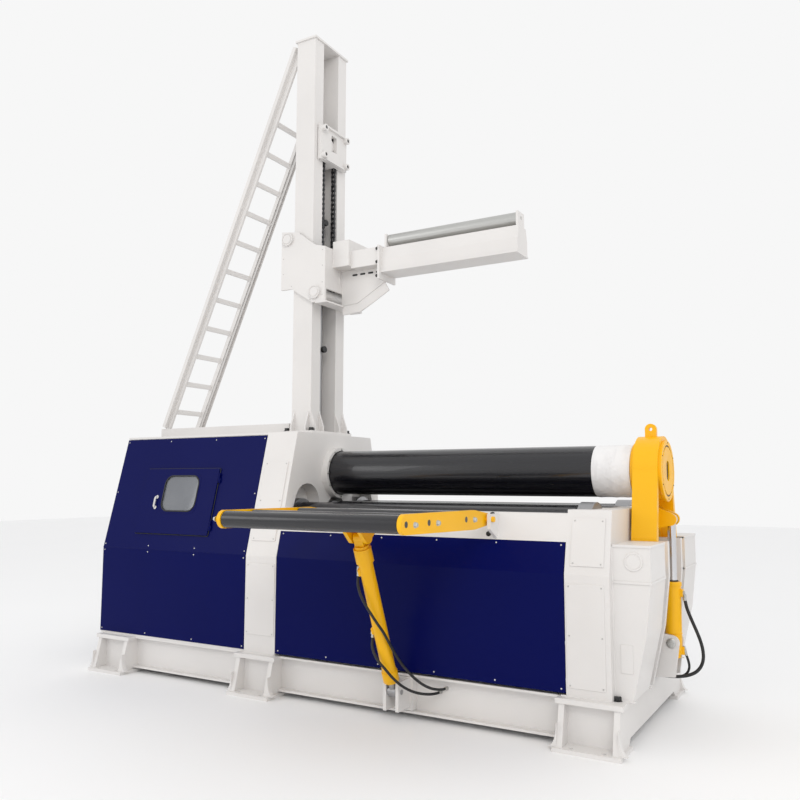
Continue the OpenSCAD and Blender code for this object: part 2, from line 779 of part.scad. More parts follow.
// --- carriage and overhead arm
module carriage() {
    z0 = 3440;
    color("whitesmoke") {
        for (s = [-1, 1]) along_y(s > 0 ? mast_half + carriage_gap : -mast_half - carriage_gap - plate_t, plate_t)
            polygon([[mast_x0 - 130, 4170], [mast_x0 + 70, 4140], [mast_x1 + 45, 3990], [mast_x1 + 165, 3960],
                [mast_x1 + 165, z0], [mast_x1 + 20, z0], [mast_x0 - 5, 3595], [mast_x0 - 130, 3595]]);
        block(mast_x1 + 140, mast_x1 + 165, -mast_half - carriage_gap - 1, mast_half + carriage_gap + 1, 3560, 3960);
        block(mast_x0 - 130, mast_x0 - 110, -mast_half - carriage_gap - 1, mast_half + carriage_gap + 1, 3640, 3940);
    }
}

module carriage_rollers() {
    half = mast_half + carriage_gap;
    color("gray")
        for (p = [[mast_x0 - carriage_roller_r - 0.5, 4083], [mast_x1 + carriage_roller_r + 0.5, 3532]]) {
            bar_y(p[0], 0.4 - half, p[1], carriage_roller_r, 2 * half - 0.8);
            for (s = [-1, 1]) bar_y(p[0], s > 0 ? half + plate_t : -half - plate_t - 12, p[1], 60, 12);
        }
}

module arm_bracket() {
    x0 = mast_x1 + 165;
    color("whitesmoke") {
        block(x0, x0 + 180, -170, 170, 3780, 4030);
        block(x0 + 179, arm_x0 - 20, -130, 130, 3760, arm_z);
        along_y(-15, 30) polygon([[x0, 3440], [x0 + 180, 3450], [arm_x0 - 20, 3620], [arm_x0 - 20, 3761], [x0, 3781]]);
        block(arm_x0 - 20, arm_x0, -150, 150, 3620, arm_z + 10);
    }
}

module arm_beam() {
    color("whitesmoke") along_x(arm_x0, arm_l)
        polygon([[-130, arm_z - 245], [130, arm_z - 245], [130, arm_z - 230], [110, arm_z - 230], [110, arm_z - 115],
            [80, arm_z], [-80, arm_z], [-110, arm_z - 115], [-110, arm_z - 230], [-130, arm_z - 230]]);
    color("whitesmoke") for (x = [arm_x0 + 10, arm_x0 + arm_l - 30]) difference() {
        block(x, x + 20, -70, 70, arm_z - 1, arm_z + 130);
        bar_x(x - 1, 0, arm_z + 80, 16 + fit, 22);
    }
}

module arm_roller() {
    color("gray") {
        bar_x(arm_x0 + 35, 0, arm_z + 80, 57, arm_l - 70);
        bar_x(arm_x0 + 12, 0, arm_z + 80, 16, arm_l - 24);
    }
}

sprocket_z = 5080;
sprocket_r = 80;
chain_t = 24;
chain_x = mast_x1 - 22;
head_z = 4870;
head_h = 350;

module crosshead() {
    color("whitesmoke") {
        difference() {
            block(mast_x1 + 6, mast_x1 + 46, -215, 215, head_z, head_z + head_h);
            block(mast_x1, mast_x1 + 60, -45, 45, head_z + 130, head_z + 290);
        }
        for (y = [-185, 185]) for (z = [head_z + 40, head_z + head_h - 40]) bar_x(mast_x1 + 45, y, z, 30, 30);
        block(mast_tube_x - 50, mast_x1 + 7, -60, 60, head_z, head_z + 60);
    }
    color("silver") {
        translate([mast_tube_x, 0, 3950]) cylinder(r = mast_rod_r, h = head_z - 3950 + 1);
        bar_x(chain_x - 12, 0, sprocket_z, sprocket_r - 0.3, 24);
        bar_x(chain_x + 11, 0, sprocket_z, 55, mast_x1 + 7 - chain_x - 11);
    }
}

// One chain over the sprocket: a run on each side of it, joined over the top
module lift_chains() {
    z0 = 3500;
    color("black") along_x(chain_x - 10, 20) difference() {
        union() {
            translate([0, sprocket_z]) circle(r = sprocket_r + chain_t);
            translate([-sprocket_r - chain_t, z0]) square([2 * (sprocket_r + chain_t), sprocket_z - z0]);
        }
        translate([0, sprocket_z]) circle(r = sprocket_r);
        translate([-sprocket_r, z0 - 1]) square([2 * sprocket_r, sprocket_z - z0 + 1]);
    }
}

cross_beams();
base_rails();
drive_frame();
end_frame();
housing();
housing_panels();
housing_deck();
bed_panels();
bed_beams();
mast();
mast_cylinder();
ladder();
table_brackets();
table_foot();
drop_foot();
frame_covers();
access_door();
door_window();
top_roll();
roll_sleeve();
bottom_blocks();
bottom_roll();
front_blocks();
front_side_roll();
rear_blocks();
rear_side_roll();
yoke();
bearing_cover();
drop_barrel();
drop_rod();
table_frame();
table_roller_outer();
table_roller_middle();
table_roller_inner();
table_barrel();
table_rod();
carriage();
carriage_rollers();
arm_bracket();
arm_beam();
arm_roller();
crosshead();
lift_chains();
roll_ring();
hinge_ears();
ladder_rungs();
door_hinges();
yoke_bearing();
yoke_hub();
top_roll_neck();
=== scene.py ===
"""Finishes, fittings, hoses, stage and camera for a four-roll plate rolling machine.

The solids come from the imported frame. Lengths are in metres: +X runs along the rolls towards
the drop end, +Y to the rear and +Z up, with the origin on the floor under the drive frame.
"""

import math

import bmesh
import bpy
import numpy as np
from mathutils import Matrix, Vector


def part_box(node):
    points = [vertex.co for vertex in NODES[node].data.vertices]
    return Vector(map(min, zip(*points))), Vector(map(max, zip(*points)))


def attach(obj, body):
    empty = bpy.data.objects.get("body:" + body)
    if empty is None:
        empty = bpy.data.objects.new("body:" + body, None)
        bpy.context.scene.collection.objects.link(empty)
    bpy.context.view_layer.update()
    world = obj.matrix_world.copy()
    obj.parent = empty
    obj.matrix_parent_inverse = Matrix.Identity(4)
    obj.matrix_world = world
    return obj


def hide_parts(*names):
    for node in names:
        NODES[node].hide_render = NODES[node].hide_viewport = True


bl_info = {
    "name": "Plate Rolling Machine",
    "version": (1, 0, 0),
    "blender": (4, 5, 0),
    "location": "View3D > Sidebar > Rolls",
    "description": "Dresses a plate rolling machine: paint, bolts, door fittings, hoses and stage",
    "category": "Object",
}

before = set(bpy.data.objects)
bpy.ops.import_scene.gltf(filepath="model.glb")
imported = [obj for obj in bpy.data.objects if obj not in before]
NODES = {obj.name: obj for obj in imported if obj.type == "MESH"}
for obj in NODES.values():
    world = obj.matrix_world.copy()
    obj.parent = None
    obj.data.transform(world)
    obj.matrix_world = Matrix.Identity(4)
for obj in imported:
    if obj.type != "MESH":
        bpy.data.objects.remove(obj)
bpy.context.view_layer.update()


# ---------------------------------------------------------------- sizes and colours
class ROLLS_PG_paint(bpy.types.PropertyGroup):
    """Colours of the paints and coatings."""

    frame_white: bpy.props.FloatVectorProperty(
        name="Frame white", description="Warm white of the frames, base and mast", subtype="COLOR",
        size=3, min=0, max=1, default=(0.74, 0.72, 0.705))
    panel_blue: bpy.props.FloatVectorProperty(
        name="Panel blue", description="Dark blue of the sheet panels", subtype="COLOR",
        size=3, min=0, max=1, default=(0.0008, 0.0030, 0.074))
    lift_orange: bpy.props.FloatVectorProperty(
        name="Lift orange", description="Orange of the yoke, table and cylinders", subtype="COLOR",
        size=3, min=0, max=1, default=(0.93, 0.485, 0.0))
    roll_black: bpy.props.FloatVectorProperty(
        name="Roll black", description="Black of the coated rolls", subtype="COLOR",
        size=3, min=0, max=1, default=(0.005, 0.005, 0.008))


class ROLLS_PG_fittings(bpy.types.PropertyGroup):
    """Sizes of the small fittings."""

    screw_d: bpy.props.FloatProperty(
        name="Panel screw", description="Diameter of the panels' screw heads", default=0.012,
        min=0.004, max=0.05, unit="LENGTH")
    bolt_d: bpy.props.FloatProperty(
        name="Anchor bolt", description="Width of the black bolt heads", default=0.044,
        min=0.01, max=0.1, unit="LENGTH")


class ROLLS_PG_stage(bpy.types.PropertyGroup):
    """Camera and floor."""

    lens: bpy.props.FloatProperty(
        name="Lens", description="Focal length of the camera", default=36.04, min=10, max=200,
        unit="CAMERA")
    yaw: bpy.props.FloatProperty(
        name="Yaw", description="Turn of the camera to the left", default=math.radians(30.136),
        subtype="ANGLE")
    pitch: bpy.props.FloatProperty(
        name="Pitch", description="Upward tilt of the camera", default=math.radians(5.956),
        subtype="ANGLE")
    floor_size: bpy.props.FloatProperty(
        name="Floor", description="Side of the floor", default=60.0, min=10, max=200,
        unit="LENGTH")


# ---------------------------------------------------------------- shader maths
class Value:
    """One socket of a material; arithmetic on it adds Math nodes."""

    def __init__(self, tree, socket):
        self.tree = tree
        self.socket = socket

    def _math(self, operation, *values):
        return node(self.tree, "ShaderNodeMath", {"operation": operation}, *values)

    def __add__(self, other):
        return self._math("ADD", self, other)

    __radd__ = __add__

    def __sub__(self, other):
        return self._math("SUBTRACT", self, other)

    def __rsub__(self, other):
        return self._math("SUBTRACT", other, self)

    def __mul__(self, other):
        return self._math("MULTIPLY", self, other)

    __rmul__ = __mul__

    def step(self, low, high):
        """0 below low, 1 above high and smooth between."""
        settings = {"interpolation_type": "SMOOTHSTEP"}
        return node(self.tree, "ShaderNodeMapRange", settings, self, low, high, 0.0, 1.0)


def node(tree, kind, settings, *values, output=0, **named):
    """Adds a node: settings first, then its inputs' values or links, and returns one output."""
    made = tree.nodes.new(kind)
    for key, value in settings.items():
        setattr(made, key, value)
    pairs = list(zip([s for s in made.inputs if s.enabled], values))
    pairs += [(made.inputs[key.replace("_", " ")], value) for key, value in named.items()]
    for socket, value in pairs:
        if isinstance(value, Value):
            tree.links.new(value.socket, socket)
        else:
            socket.default_value = value
    return Value(tree, made.outputs[output])


def mix(tree, mask, first, second):
    """Colour mix of two colours or links by a mask."""
    pair = [c if isinstance(c, Value) else (*c, 1.0) for c in (first, second)]
    return node(tree, "ShaderNodeMix", {"data_type": "RGBA"}, mask, *pair, output=2)


def object_space(tree, scale=(1, 1, 1)):
    """Object coordinates in metres, stretched by scale."""
    coords = node(tree, "ShaderNodeTexCoord", {}, output=3)
    return node(tree, "ShaderNodeMapping", {}, coords, Scale=scale)


def noise(tree, size, stretch=(1, 1, 1), detail=4.0):
    """Noise with features about size metres across, stretched along the axes."""
    return node(tree, "ShaderNodeTexNoise", {}, Vector=object_space(tree, stretch),
                Scale=1.0 / size, Detail=detail)


def darker(colour, factor):
    """The colour with each part times the factor."""
    return tuple(c * factor for c in colour)


def finish_shader(name, base, roughness, metallic=0.0, bump=None, bump_m=0.0002, coat=0.0, **plain):
    """Makes a material; base(tree) and roughness(tree) and bump(tree) give links or numbers."""
    material = bpy.data.materials.new(name)
    material.use_nodes = True
    tree = material.node_tree
    shader = tree.nodes["Principled BSDF"]
    for socket, value in (("Base Color", base(tree)), ("Roughness", roughness(tree))):
        if isinstance(value, Value):
            tree.links.new(value.socket, shader.inputs[socket])
        else:
            shader.inputs[socket].default_value = value
    shader.inputs["Metallic"].default_value = metallic
    shader.inputs["Coat Weight"].default_value = coat
    for key, value in plain.items():
        shader.inputs[key.replace("_", " ")].default_value = value
    if bump:
        normal = node(tree, "ShaderNodeBump", {}, Strength=1.0, Distance=bump_m, Height=bump(tree))
        tree.links.new(normal.socket, shader.inputs["Normal"])
    return material


def sprayed_paint(name, colour, gloss, dust=0.08, grime=0.9, shine=0.4):
    """Sprayed enamel: fine orange peel, slow drift of tone, a little dust."""

    def base(tree):
        drift = noise(tree, 0.9, detail=3).step(0.35, 0.7)
        speck = noise(tree, 0.012, detail=2).step(0.66, 0.74)
        toned = mix(tree, drift * 0.5, colour, darker(colour, grime))
        return mix(tree, speck * dust, toned, darker(colour, 0.55))

    def roughness(tree):
        return noise(tree, 0.25) * 0.12 + (gloss - 0.06)

    return finish_shader(name, base, roughness, bump=lambda t: noise(t, 0.006, detail=2),
                         bump_m=0.00015, Specular_IOR_Level=shine)


def rolled_film(name, colour):
    """Black rust-guard film on a roll: painted highlights in long streaks along X, soft wrinkles, a few
    scuffs.
    """

    def base(tree):
        # Painted highlight: lighter bluish streaks along X stand in for light caught on the gloss.
        highlight_streak = noise(tree, 0.02, (0.03, 1, 1), detail=5).step(0.55, 0.75)
        scuff = noise(tree, 0.03, (0.5, 1, 1), detail=6).step(0.68, 0.76)
        highlighted = mix(tree, highlight_streak * 0.22, colour, (0.022, 0.023, 0.034))
        return mix(tree, scuff * 0.15, highlighted, (0.06, 0.06, 0.07))

    def roughness(tree):
        return noise(tree, 0.05, (0.05, 1, 1), detail=5) * 0.3 + 0.12

    def bump(tree):
        return noise(tree, 0.05, (0.06, 1, 1), detail=4) + noise(tree, 0.012, (0.3, 1, 1)) * 0.2

    return finish_shader(name, base, roughness, bump=bump, bump_m=0.003, coat=0.4)


def shrink_wrap(name):
    """White packing film pulled round a roll's end: rings of tight wrinkles, with painted shade in the
    folds.
    """

    def base(tree):
        # Painted shade: the film is darker in patches where folds lie.
        fold = noise(tree, 0.05, (1, 0.3, 0.3), detail=5).step(0.42, 0.66)
        return mix(tree, fold * 0.30, (0.82, 0.81, 0.81), (0.62, 0.61, 0.62))

    def bump(tree):
        return noise(tree, 0.045, (1, 0.35, 0.35), detail=5)

    return finish_shader(name, base, lambda t: noise(t, 0.08) * 0.2 + 0.25, bump=bump,
                         bump_m=0.002, coat=0.2)


def bare_steel(name, colour, rough, metallic=1.0, grain=(0.05, 1, 1)):
    """Turned or ground steel: fine grain along one axis."""

    def base(tree):
        return mix(tree, noise(tree, 0.004, grain), colour, darker(colour, 0.75))

    def roughness(tree):
        return noise(tree, 0.01, grain) * 0.15 + (rough - 0.07)

    return finish_shader(name, base, roughness, metallic=metallic,
                         bump=lambda t: noise(t, 0.003, grain), bump_m=0.0001)


def moulded(name, colour, rough, grain=0.004):
    """Rubber, plastic or blackened steel, also the black of painted shade sheets: fine dull grain."""

    def base(tree):
        worn = tuple(c * 1.6 + 0.01 for c in colour)
        return mix(tree, noise(tree, 0.05).step(0.4, 0.8) * 0.5, colour, worn)

    return finish_shader(name, base, lambda t: noise(t, 0.02) * 0.1 + (rough - 0.05),
                         bump=lambda t: noise(t, grain, detail=2), bump_m=0.0002)


def window_glass(name):
    """Pane painted dark grey for the shaded inside behind it: glossy and a little see-through."""

    def base(tree):
        # Painted shade: the dark greys stand in for the shaded inside behind the glass.
        return mix(tree, noise(tree, 0.3), (0.16, 0.17, 0.19), (0.22, 0.23, 0.25))

    return finish_shader(name, base, lambda t: noise(t, 0.1) * 0.04 + 0.03, coat=0.5, Alpha=0.8)


MATERIALS = {}


def make_materials(paint):
    """Makes every finish, with the paints' colours from the settings."""
    MATERIALS.update(
        frame_white=sprayed_paint("frame_white", tuple(paint.frame_white), 0.42),
        panel_blue=sprayed_paint("panel_blue", tuple(paint.panel_blue), 0.34, dust=0.02, shine=0.07),
        lift_orange=sprayed_paint("lift_orange", tuple(paint.lift_orange), 0.36, dust=0.03),
        roll_film=rolled_film("roll_film", tuple(paint.roll_black)),
        shrink_wrap=shrink_wrap("shrink_wrap"),
        turned_steel=bare_steel("turned_steel", (0.45, 0.45, 0.46), 0.42),
        chrome_rod=bare_steel("chrome_rod", (0.78, 0.78, 0.80), 0.16, grain=(1, 1, 0.05)),
        oiled_steel=bare_steel("oiled_steel", (0.05, 0.05, 0.055), 0.38, metallic=0.7),
        # Blackened steel of the bolts, ports and heads, also the black of painted shade in the crosshead's
        # holes.
        black_bolt=moulded("black_bolt", (0.012, 0.012, 0.013), 0.4),
        hose_rubber=moulded("hose_rubber", (0.01, 0.01, 0.011), 0.5, grain=0.002),
        # Black rubber of the gaskets, seals and wipers, also the black of painted shade in slots and
        # grooves.
        gasket_rubber=moulded("gasket_rubber", (0.008, 0.008, 0.009), 0.45),
        zinc=bare_steel("zinc", (0.62, 0.62, 0.6), 0.35),
        screw_white=moulded("screw_white", (0.62, 0.61, 0.60), 0.4),
        pane=window_glass("pane"),
    )


# Nodes with each finish; the others are frame white.
FINISH_NODES = {
    "panel_blue": ("housing_panels", "bed_panels", "access_door", "door_hinges"),
    "lift_orange": ("yoke", "yoke_hub", "bearing_cover", "drop_barrel", "table_frame", "table_barrel"),
    "roll_film": ("top_roll", "bottom_roll", "front_side_roll", "rear_side_roll",
                  "table_roller_outer", "table_roller_middle", "table_roller_inner"),
    "turned_steel": ("table_rod", "bottom_blocks", "front_blocks", "rear_blocks", "mast_cylinder",
                     "yoke_bearing", "top_roll_neck"),
    "shrink_wrap": ("roll_sleeve",), "chrome_rod": ("drop_rod",), "zinc": ("arm_roller",),
    "oiled_steel": ("lift_chains",), "pane": ("door_window",),
}
NODE_FINISH = {name: finish for finish, names in FINISH_NODES.items() for name in names}


# ---------------------------------------------------------------- surfaces
def points_at(*coords):
    """Points from their coordinates, each an array or one number that all the points share."""
    return np.stack(np.broadcast_arrays(*coords), -1)


def unit(v):
    """The same direction with the length 1."""
    return v / np.linalg.norm(v)


def grid_faces(rows, cols):
    """Corner numbers of a grid's faces, row by row, with the last column joined to the first."""
    i = np.arange(rows - 1)[:, None] * cols
    j = np.arange(cols)[None, :]
    k = (j + 1) % cols
    return np.stack([i + j, i + k, i + cols + k, i + cols + j], -1).reshape(-1, 4)


def turned(profile, sides, outline=None):
    """Surface of revolution: a (radius, height) profile from the bottom pole up to the top pole
    goes to (radius cos t, radius sin t, height), the radius times outline(t) where given."""
    radius, height = np.array(profile, float).T[:, :, None]
    t = np.linspace(0, 2 * np.pi, sides, endpoint=False)[None, :]
    reach = radius * (outline(t) if outline else 1.0)
    points = points_at(reach * np.cos(t), reach * np.sin(t), height)
    return points.reshape(-1, 3), grid_faces(len(profile), sides)


def hexagon(t):
    """Distance from the centre to a hexagon's side at angle t, with 1 at the middle of a side."""
    return 1 / np.cos((t + np.pi / 6) % (np.pi / 3) - np.pi / 6)


def turned_frames(normals, up):
    """Turns with +Z along each normal and +X square to up: columns are x, normal cross x, normal."""
    z = np.atleast_2d(np.array(normals, float))
    z = z / np.linalg.norm(z, axis=1, keepdims=True)
    x = np.cross(np.array(up, float)[None, :], z)
    x /= np.linalg.norm(x, axis=1, keepdims=True)
    return np.stack([x, np.cross(z, x), z], -1)


def set_at(shape, places, normals, up=(0.13, 0.29, 0.95)):
    """Copies a shape to each place, with its +Z along the normal there and its +Y towards up:
    place + turn times point."""
    points, faces = shape
    places = np.atleast_2d(np.array(places, float))
    turns = turned_frames(np.broadcast_to(normals, places.shape), up)
    moved = places[:, None, :] + np.einsum("nij,pj->npi", turns, points)
    numbers = faces[None] + np.arange(len(places))[:, None, None] * len(points)
    return moved.reshape(-1, 3), numbers.reshape(-1, 4)


def smooth_path(route, count):
    """Even points on a Catmull-Rom line through the route: cubic in t between each two points."""
    p = np.array(route, float)
    p = np.vstack([2 * p[0] - p[1], p, 2 * p[-1] - p[-2]])
    t = np.linspace(0, 1, 24, endpoint=False)[:, None]
    a, b, c, d = (p[i:len(p) - 3 + i][:, None, :] for i in range(4))
    fine = 0.5 * (2 * b + (c - a) * t + (2 * a - 5 * b + 4 * c - d) * t**2
                  + (3 * b - a - 3 * c + d) * t**3)
    fine = np.vstack([fine.reshape(-1, 3), p[-2]])
    run = np.concatenate([[0], np.cumsum(np.linalg.norm(np.diff(fine, axis=0), axis=1))])
    even = np.linspace(0, run[-1], count)
    return np.stack([np.interp(even, run, fine[:, i]) for i in range(3)], -1), run[-1]


def swept(path, profile, up, closed=False):
    """Carries a flat profile along a path: point + side * u + lift * v, where side and lift stand
    square to the path's direction and up gives the side's sense. Open ends close in a pole."""
    path = np.array(path, float)
    if closed:
        ahead = np.roll(path, -1, 0) - np.roll(path, 1, 0)
    else:
        ahead = np.gradient(path, axis=0)
    turns = turned_frames(ahead, up)
    outline = np.array(profile, float)
    outline = np.broadcast_to(outline, (len(path),) + outline.shape[-2:])
    points = path[:, None, :] + np.einsum("nij,npj->npi", turns[:, :, :2], outline)
    if closed:
        points = np.concatenate([points, points[:1]])
    else:
        points = np.concatenate([np.repeat(path[:1, None], points.shape[1], 1), points,
                                 np.repeat(path[-1:, None], points.shape[1], 1)])
    rows, cols = points.shape[:2]
    return points.reshape(-1, 3), grid_faces(rows, cols)


def ring(radius, sides, flat=1.0):
    """Closed outline of a circle, flattened across by flat."""
    t = np.linspace(0, 2 * np.pi, sides, endpoint=False)
    return np.stack([radius * np.cos(t), radius * flat * np.sin(t)], -1)


def add_piece(name, shapes, material, body, smooth=0.6):
    """One object from several surfaces, with doubled points merged, riding on a body."""
    sizes = np.cumsum([0] + [len(points) for points, _ in shapes])
    points = np.vstack([points for points, _ in shapes])
    faces = np.vstack([faces + start for (_, faces), start in zip(shapes, sizes)])
    mesh = bpy.data.meshes.new(name)
    mesh.from_pydata(points.tolist(), [], faces.tolist())
    work = bmesh.new()
    work.from_mesh(mesh)
    bmesh.ops.remove_doubles(work, verts=work.verts, dist=2e-6)
    bmesh.ops.recalc_face_normals(work, faces=work.faces)
    work.to_mesh(mesh)
    work.free()
    mesh.shade_smooth()
    mesh.set_sharp_from_angle(angle=smooth)
    mesh.materials.append(MATERIALS[material])
    piece = bpy.data.objects.new(name, mesh)
    bpy.context.scene.collection.objects.link(piece)
    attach(piece, body)
    return piece


def button_screw(d):
    """Button head with a round socket: a low dome of diameter d, 0.3 d high."""
    r, h = d / 2, 0.3 * d
    return turned([(0, -h / 4), (r, -h / 4), (r, 0.25 * h), (0.78 * r, 0.8 * h), (0.4 * r, h),
                   (0.34 * r, 0.45 * h), (0, 0.45 * h)], 10)


def hex_bolt(width):
    """Hexagon head on a washer: the hexagon's radius is half the width over the cosine of the
    angle from the nearest side's middle, and its top edge is turned off."""
    r, top, washer = width / 2, 0.66 * width, 0.1 * width
    head = turned([(0, 0), (r, 0), (r, 0.58 * width), (0.9 * r, top), (0, top)], 12, hexagon)
    disc = turned([(0, -0.001), (1.45 * r, -0.001), (1.45 * r, washer), (0, washer)], 14)
    return np.vstack([head[0], disc[0]]), np.vstack([head[1], disc[1] + len(head[0])])


# ---------------------------------------------------------------- places on the machine
UP = (0, 0, 1)
ALONG = (1, 0, 0)


def low_high(name):
    """Lowest and highest corner of a node's box."""
    low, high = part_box(name)
    return np.array(low, float), np.array(high, float)


FRAME_LOW, FRAME_HIGH = low_high("drive_frame")
FRAME_HALF = FRAME_HIGH[1]
FRAME_END = low_high("end_frame")[1][0]
BASE_TOP = low_high("cross_beams")[1][2]
DECK_LOW, DECK_HIGH = low_high("housing_deck")
# The mast and its gussets stand on the deck, this far below the top of the ladder's plinth.
MAST_FOOT_Z = DECK_HIGH[2] - 0.08
DOOR_X = low_high("access_door")[0][0]
# Hinge ears: their inner faces from the middle plane, and the highest corner of their box.
EAR_IN = 0.355
EAR_HIGH = low_high("hinge_ears")[1]

# Height of the bend where the frames' sides begin to lean, and how far they lean.
BEND_Z = 1.135
SLOPE = math.atan2(FRAME_HALF - DECK_HIGH[1], FRAME_HIGH[2] - BEND_Z)

# Pins and eyes of the yoke's hinge and of the two cylinders.
HINGE = np.array((3.120, 0, 1.235))
DROP_FOOT = np.array((3.200, 0, 0.600))
DROP_EYE = np.array((3.210, 0, 1.490))
DROP_ALONG = unit(DROP_EYE - DROP_FOOT)
DROP_TUBE_L = 0.410
TABLE_FOOT = np.array((1.385, -0.990, 0.225))
TABLE_EYE = np.array((1.385, -1.465, 1.375))
TABLE_ALONG = unit(TABLE_EYE - TABLE_FOOT)
TABLE_L = np.linalg.norm(TABLE_EYE - TABLE_FOOT)

# White covers on the frames: upper ones from x to x and from up to up on the slope, lower ones
# from x to x and from their lower edge to the height that they all share.
HIGH_COVERS = ((-0.125, 0.125, 0.13, 0.83), (2.705, 2.935, 0.06, 0.39))
LOW_COVERS = ((-0.153, 0.153, 0.48), (2.677, 2.939, 0.385))
COVER_TOP = BEND_Z - 0.06
# Outer faces of each cross beam's cheeks along the rolls.
BEAM_CHEEKS = ((-1.910, -1.521), (-0.1945, 0.1945), (2.6295, 3.0425))

# Axis of the top roll above the floor, and the door's lower edge and window up the slope.
TOP_ROLL_Z = 1.850
DOOR_LOW = 0.1496
WINDOW = (DOOR_X + 0.279, DOOR_X + 0.706, DOOR_LOW + 0.214, DOOR_LOW + 0.551)
# Pins of the table's rollers, and the face of the arm's flange.
TABLE_PINS_Y = (-2.075, -1.785, -1.245)
TABLE_PINS_Z = 1.507
ARM_FLANGE_X = 0.700
# Height of the gussets at the mast's foot.
GUSSET_H = 0.19
# Rollers of the carriage, seen from the side: the caps stand in line with them.
CARRIAGE_PINS = ((-0.2175, 4.083), (0.1075, 3.532))
CARRIAGE_HALF = 0.296


def on_slope(x, up, out=0.0, side=-1):
    """Point on a frame's leaning face: up is measured along the slope, out square to it."""
    up = np.array(up, float)
    y = side * (FRAME_HALF - up * math.sin(SLOPE) + out * math.cos(SLOPE))
    z = BEND_Z + up * math.cos(SLOPE) + out * math.sin(SLOPE)
    return points_at(x, y, z).reshape(-1, 3)


def slope_normal(side=-1):
    """Direction square to a frame's leaning face."""
    return (0, side * math.cos(SLOPE), math.sin(SLOPE))


def border(x0, x1, z0, z1, inset, pitch):
    """Points inside a rectangle's edges, evenly spaced at about the pitch, corners included."""
    xs = np.linspace(x0 + inset, x1 - inset, max(2, round((x1 - x0) / pitch) + 1))
    zs = np.linspace(z0 + inset, z1 - inset, max(2, round((z1 - z0) / pitch) + 1))[1:-1]
    rows = [points_at(xs, z) for z in (z0 + inset, z1 - inset)]
    return np.vstack(rows + [points_at(x, zs) for x in (xs[0], xs[-1])])


# ---------------------------------------------------------------- stage
CAMERA_PLACE = (4.4905, -6.2553, 1.7509)
CAMERA_ROLL = math.radians(0.111)
SKY_STRENGTH = 0.93
# Each lamp: its name, place, what it faces, its side, its power and its colour.
LAMPS = (("key", (7.5, -9.0, 8.5), (1, 0, 2), 5.0, 330, (1.0, 0.98, 0.95)),
         ("left", (-6.0, -8.0, 5.0), (0, 0, 2), 4.0, 90, (1.0, 1.0, 1.0)))


def add_light(name, place, target, size, power, colour):
    """Soft square light at place, facing target."""
    lamp = bpy.data.lights.new(name, "AREA")
    lamp.size = size
    lamp.energy = power
    lamp.color = colour
    holder = bpy.data.objects.new(name, lamp)
    bpy.context.scene.collection.objects.link(holder)
    pose = np.eye(4)
    pose[:3, :3] = turned_frames(np.subtract(place, target), UP)[0]
    pose[:3, 3] = place
    holder.matrix_world = Matrix(pose.tolist())


class ROLLS_OT_stage(bpy.types.Operator):
    """Adds the pale floor, the soft lights, the sky and the camera"""

    bl_idname = "rolls.stage"
    bl_label = "Stage"

    def execute(self, context):
        opts = context.scene.rolls_stage
        half = opts.floor_size / 2
        data = bpy.data.meshes.new("floor")
        data.from_pydata([(-half, -half, 0), (half, -half, 0), (half, half, 0), (-half, half, 0)], [],
                         [(0, 1, 2, 3)])
        floor = bpy.data.objects.new("floor", data)
        context.scene.collection.objects.link(floor)
        data.materials.append(finish_shader(
            "pale_floor", lambda t: mix(t, noise(t, 2.0), (0.93, 0.93, 0.935), (0.915, 0.915, 0.92)),
            lambda t: 0.75))
        world = bpy.data.worlds.new("sky")
        context.scene.world = world
        world.use_nodes = True
        background = world.node_tree.nodes["Background"]
        background.inputs["Color"].default_value = (1.0, 1.0, 1.0, 1.0)
        background.inputs["Strength"].default_value = SKY_STRENGTH
        for lamp in LAMPS:
            add_light(*lamp)
        view = bpy.data.cameras.new("camera")
        view.lens = opts.lens
        view.sensor_width = 36.0
        view.clip_end = 200
        holder = bpy.data.objects.new("camera", view)
        context.scene.collection.objects.link(holder)
        holder.matrix_world = (Matrix.Translation(CAMERA_PLACE) @ Matrix.Rotation(opts.yaw, 4, "Z")
                               @ Matrix.Rotation(math.pi / 2 + opts.pitch, 4, "X")
                               @ Matrix.Rotation(CAMERA_ROLL, 4, "Z"))
        context.scene.camera = holder
        context.scene.view_settings.view_transform = "Standard"
        return {"FINISHED"}


class ROLLS_OT_finishes(bpy.types.Operator):
    """Gives every solid of the machine its paint, film or steel"""

    bl_idname = "rolls.finishes"
    bl_label = "Finishes"

    def execute(self, context):
        make_materials(context.scene.rolls_paint)
        for name, solid in NODES.items():
            solid.data.materials.clear()
            solid.data.materials.append(MATERIALS[NODE_FINISH.get(name, "frame_white")])
        return {"FINISHED"}


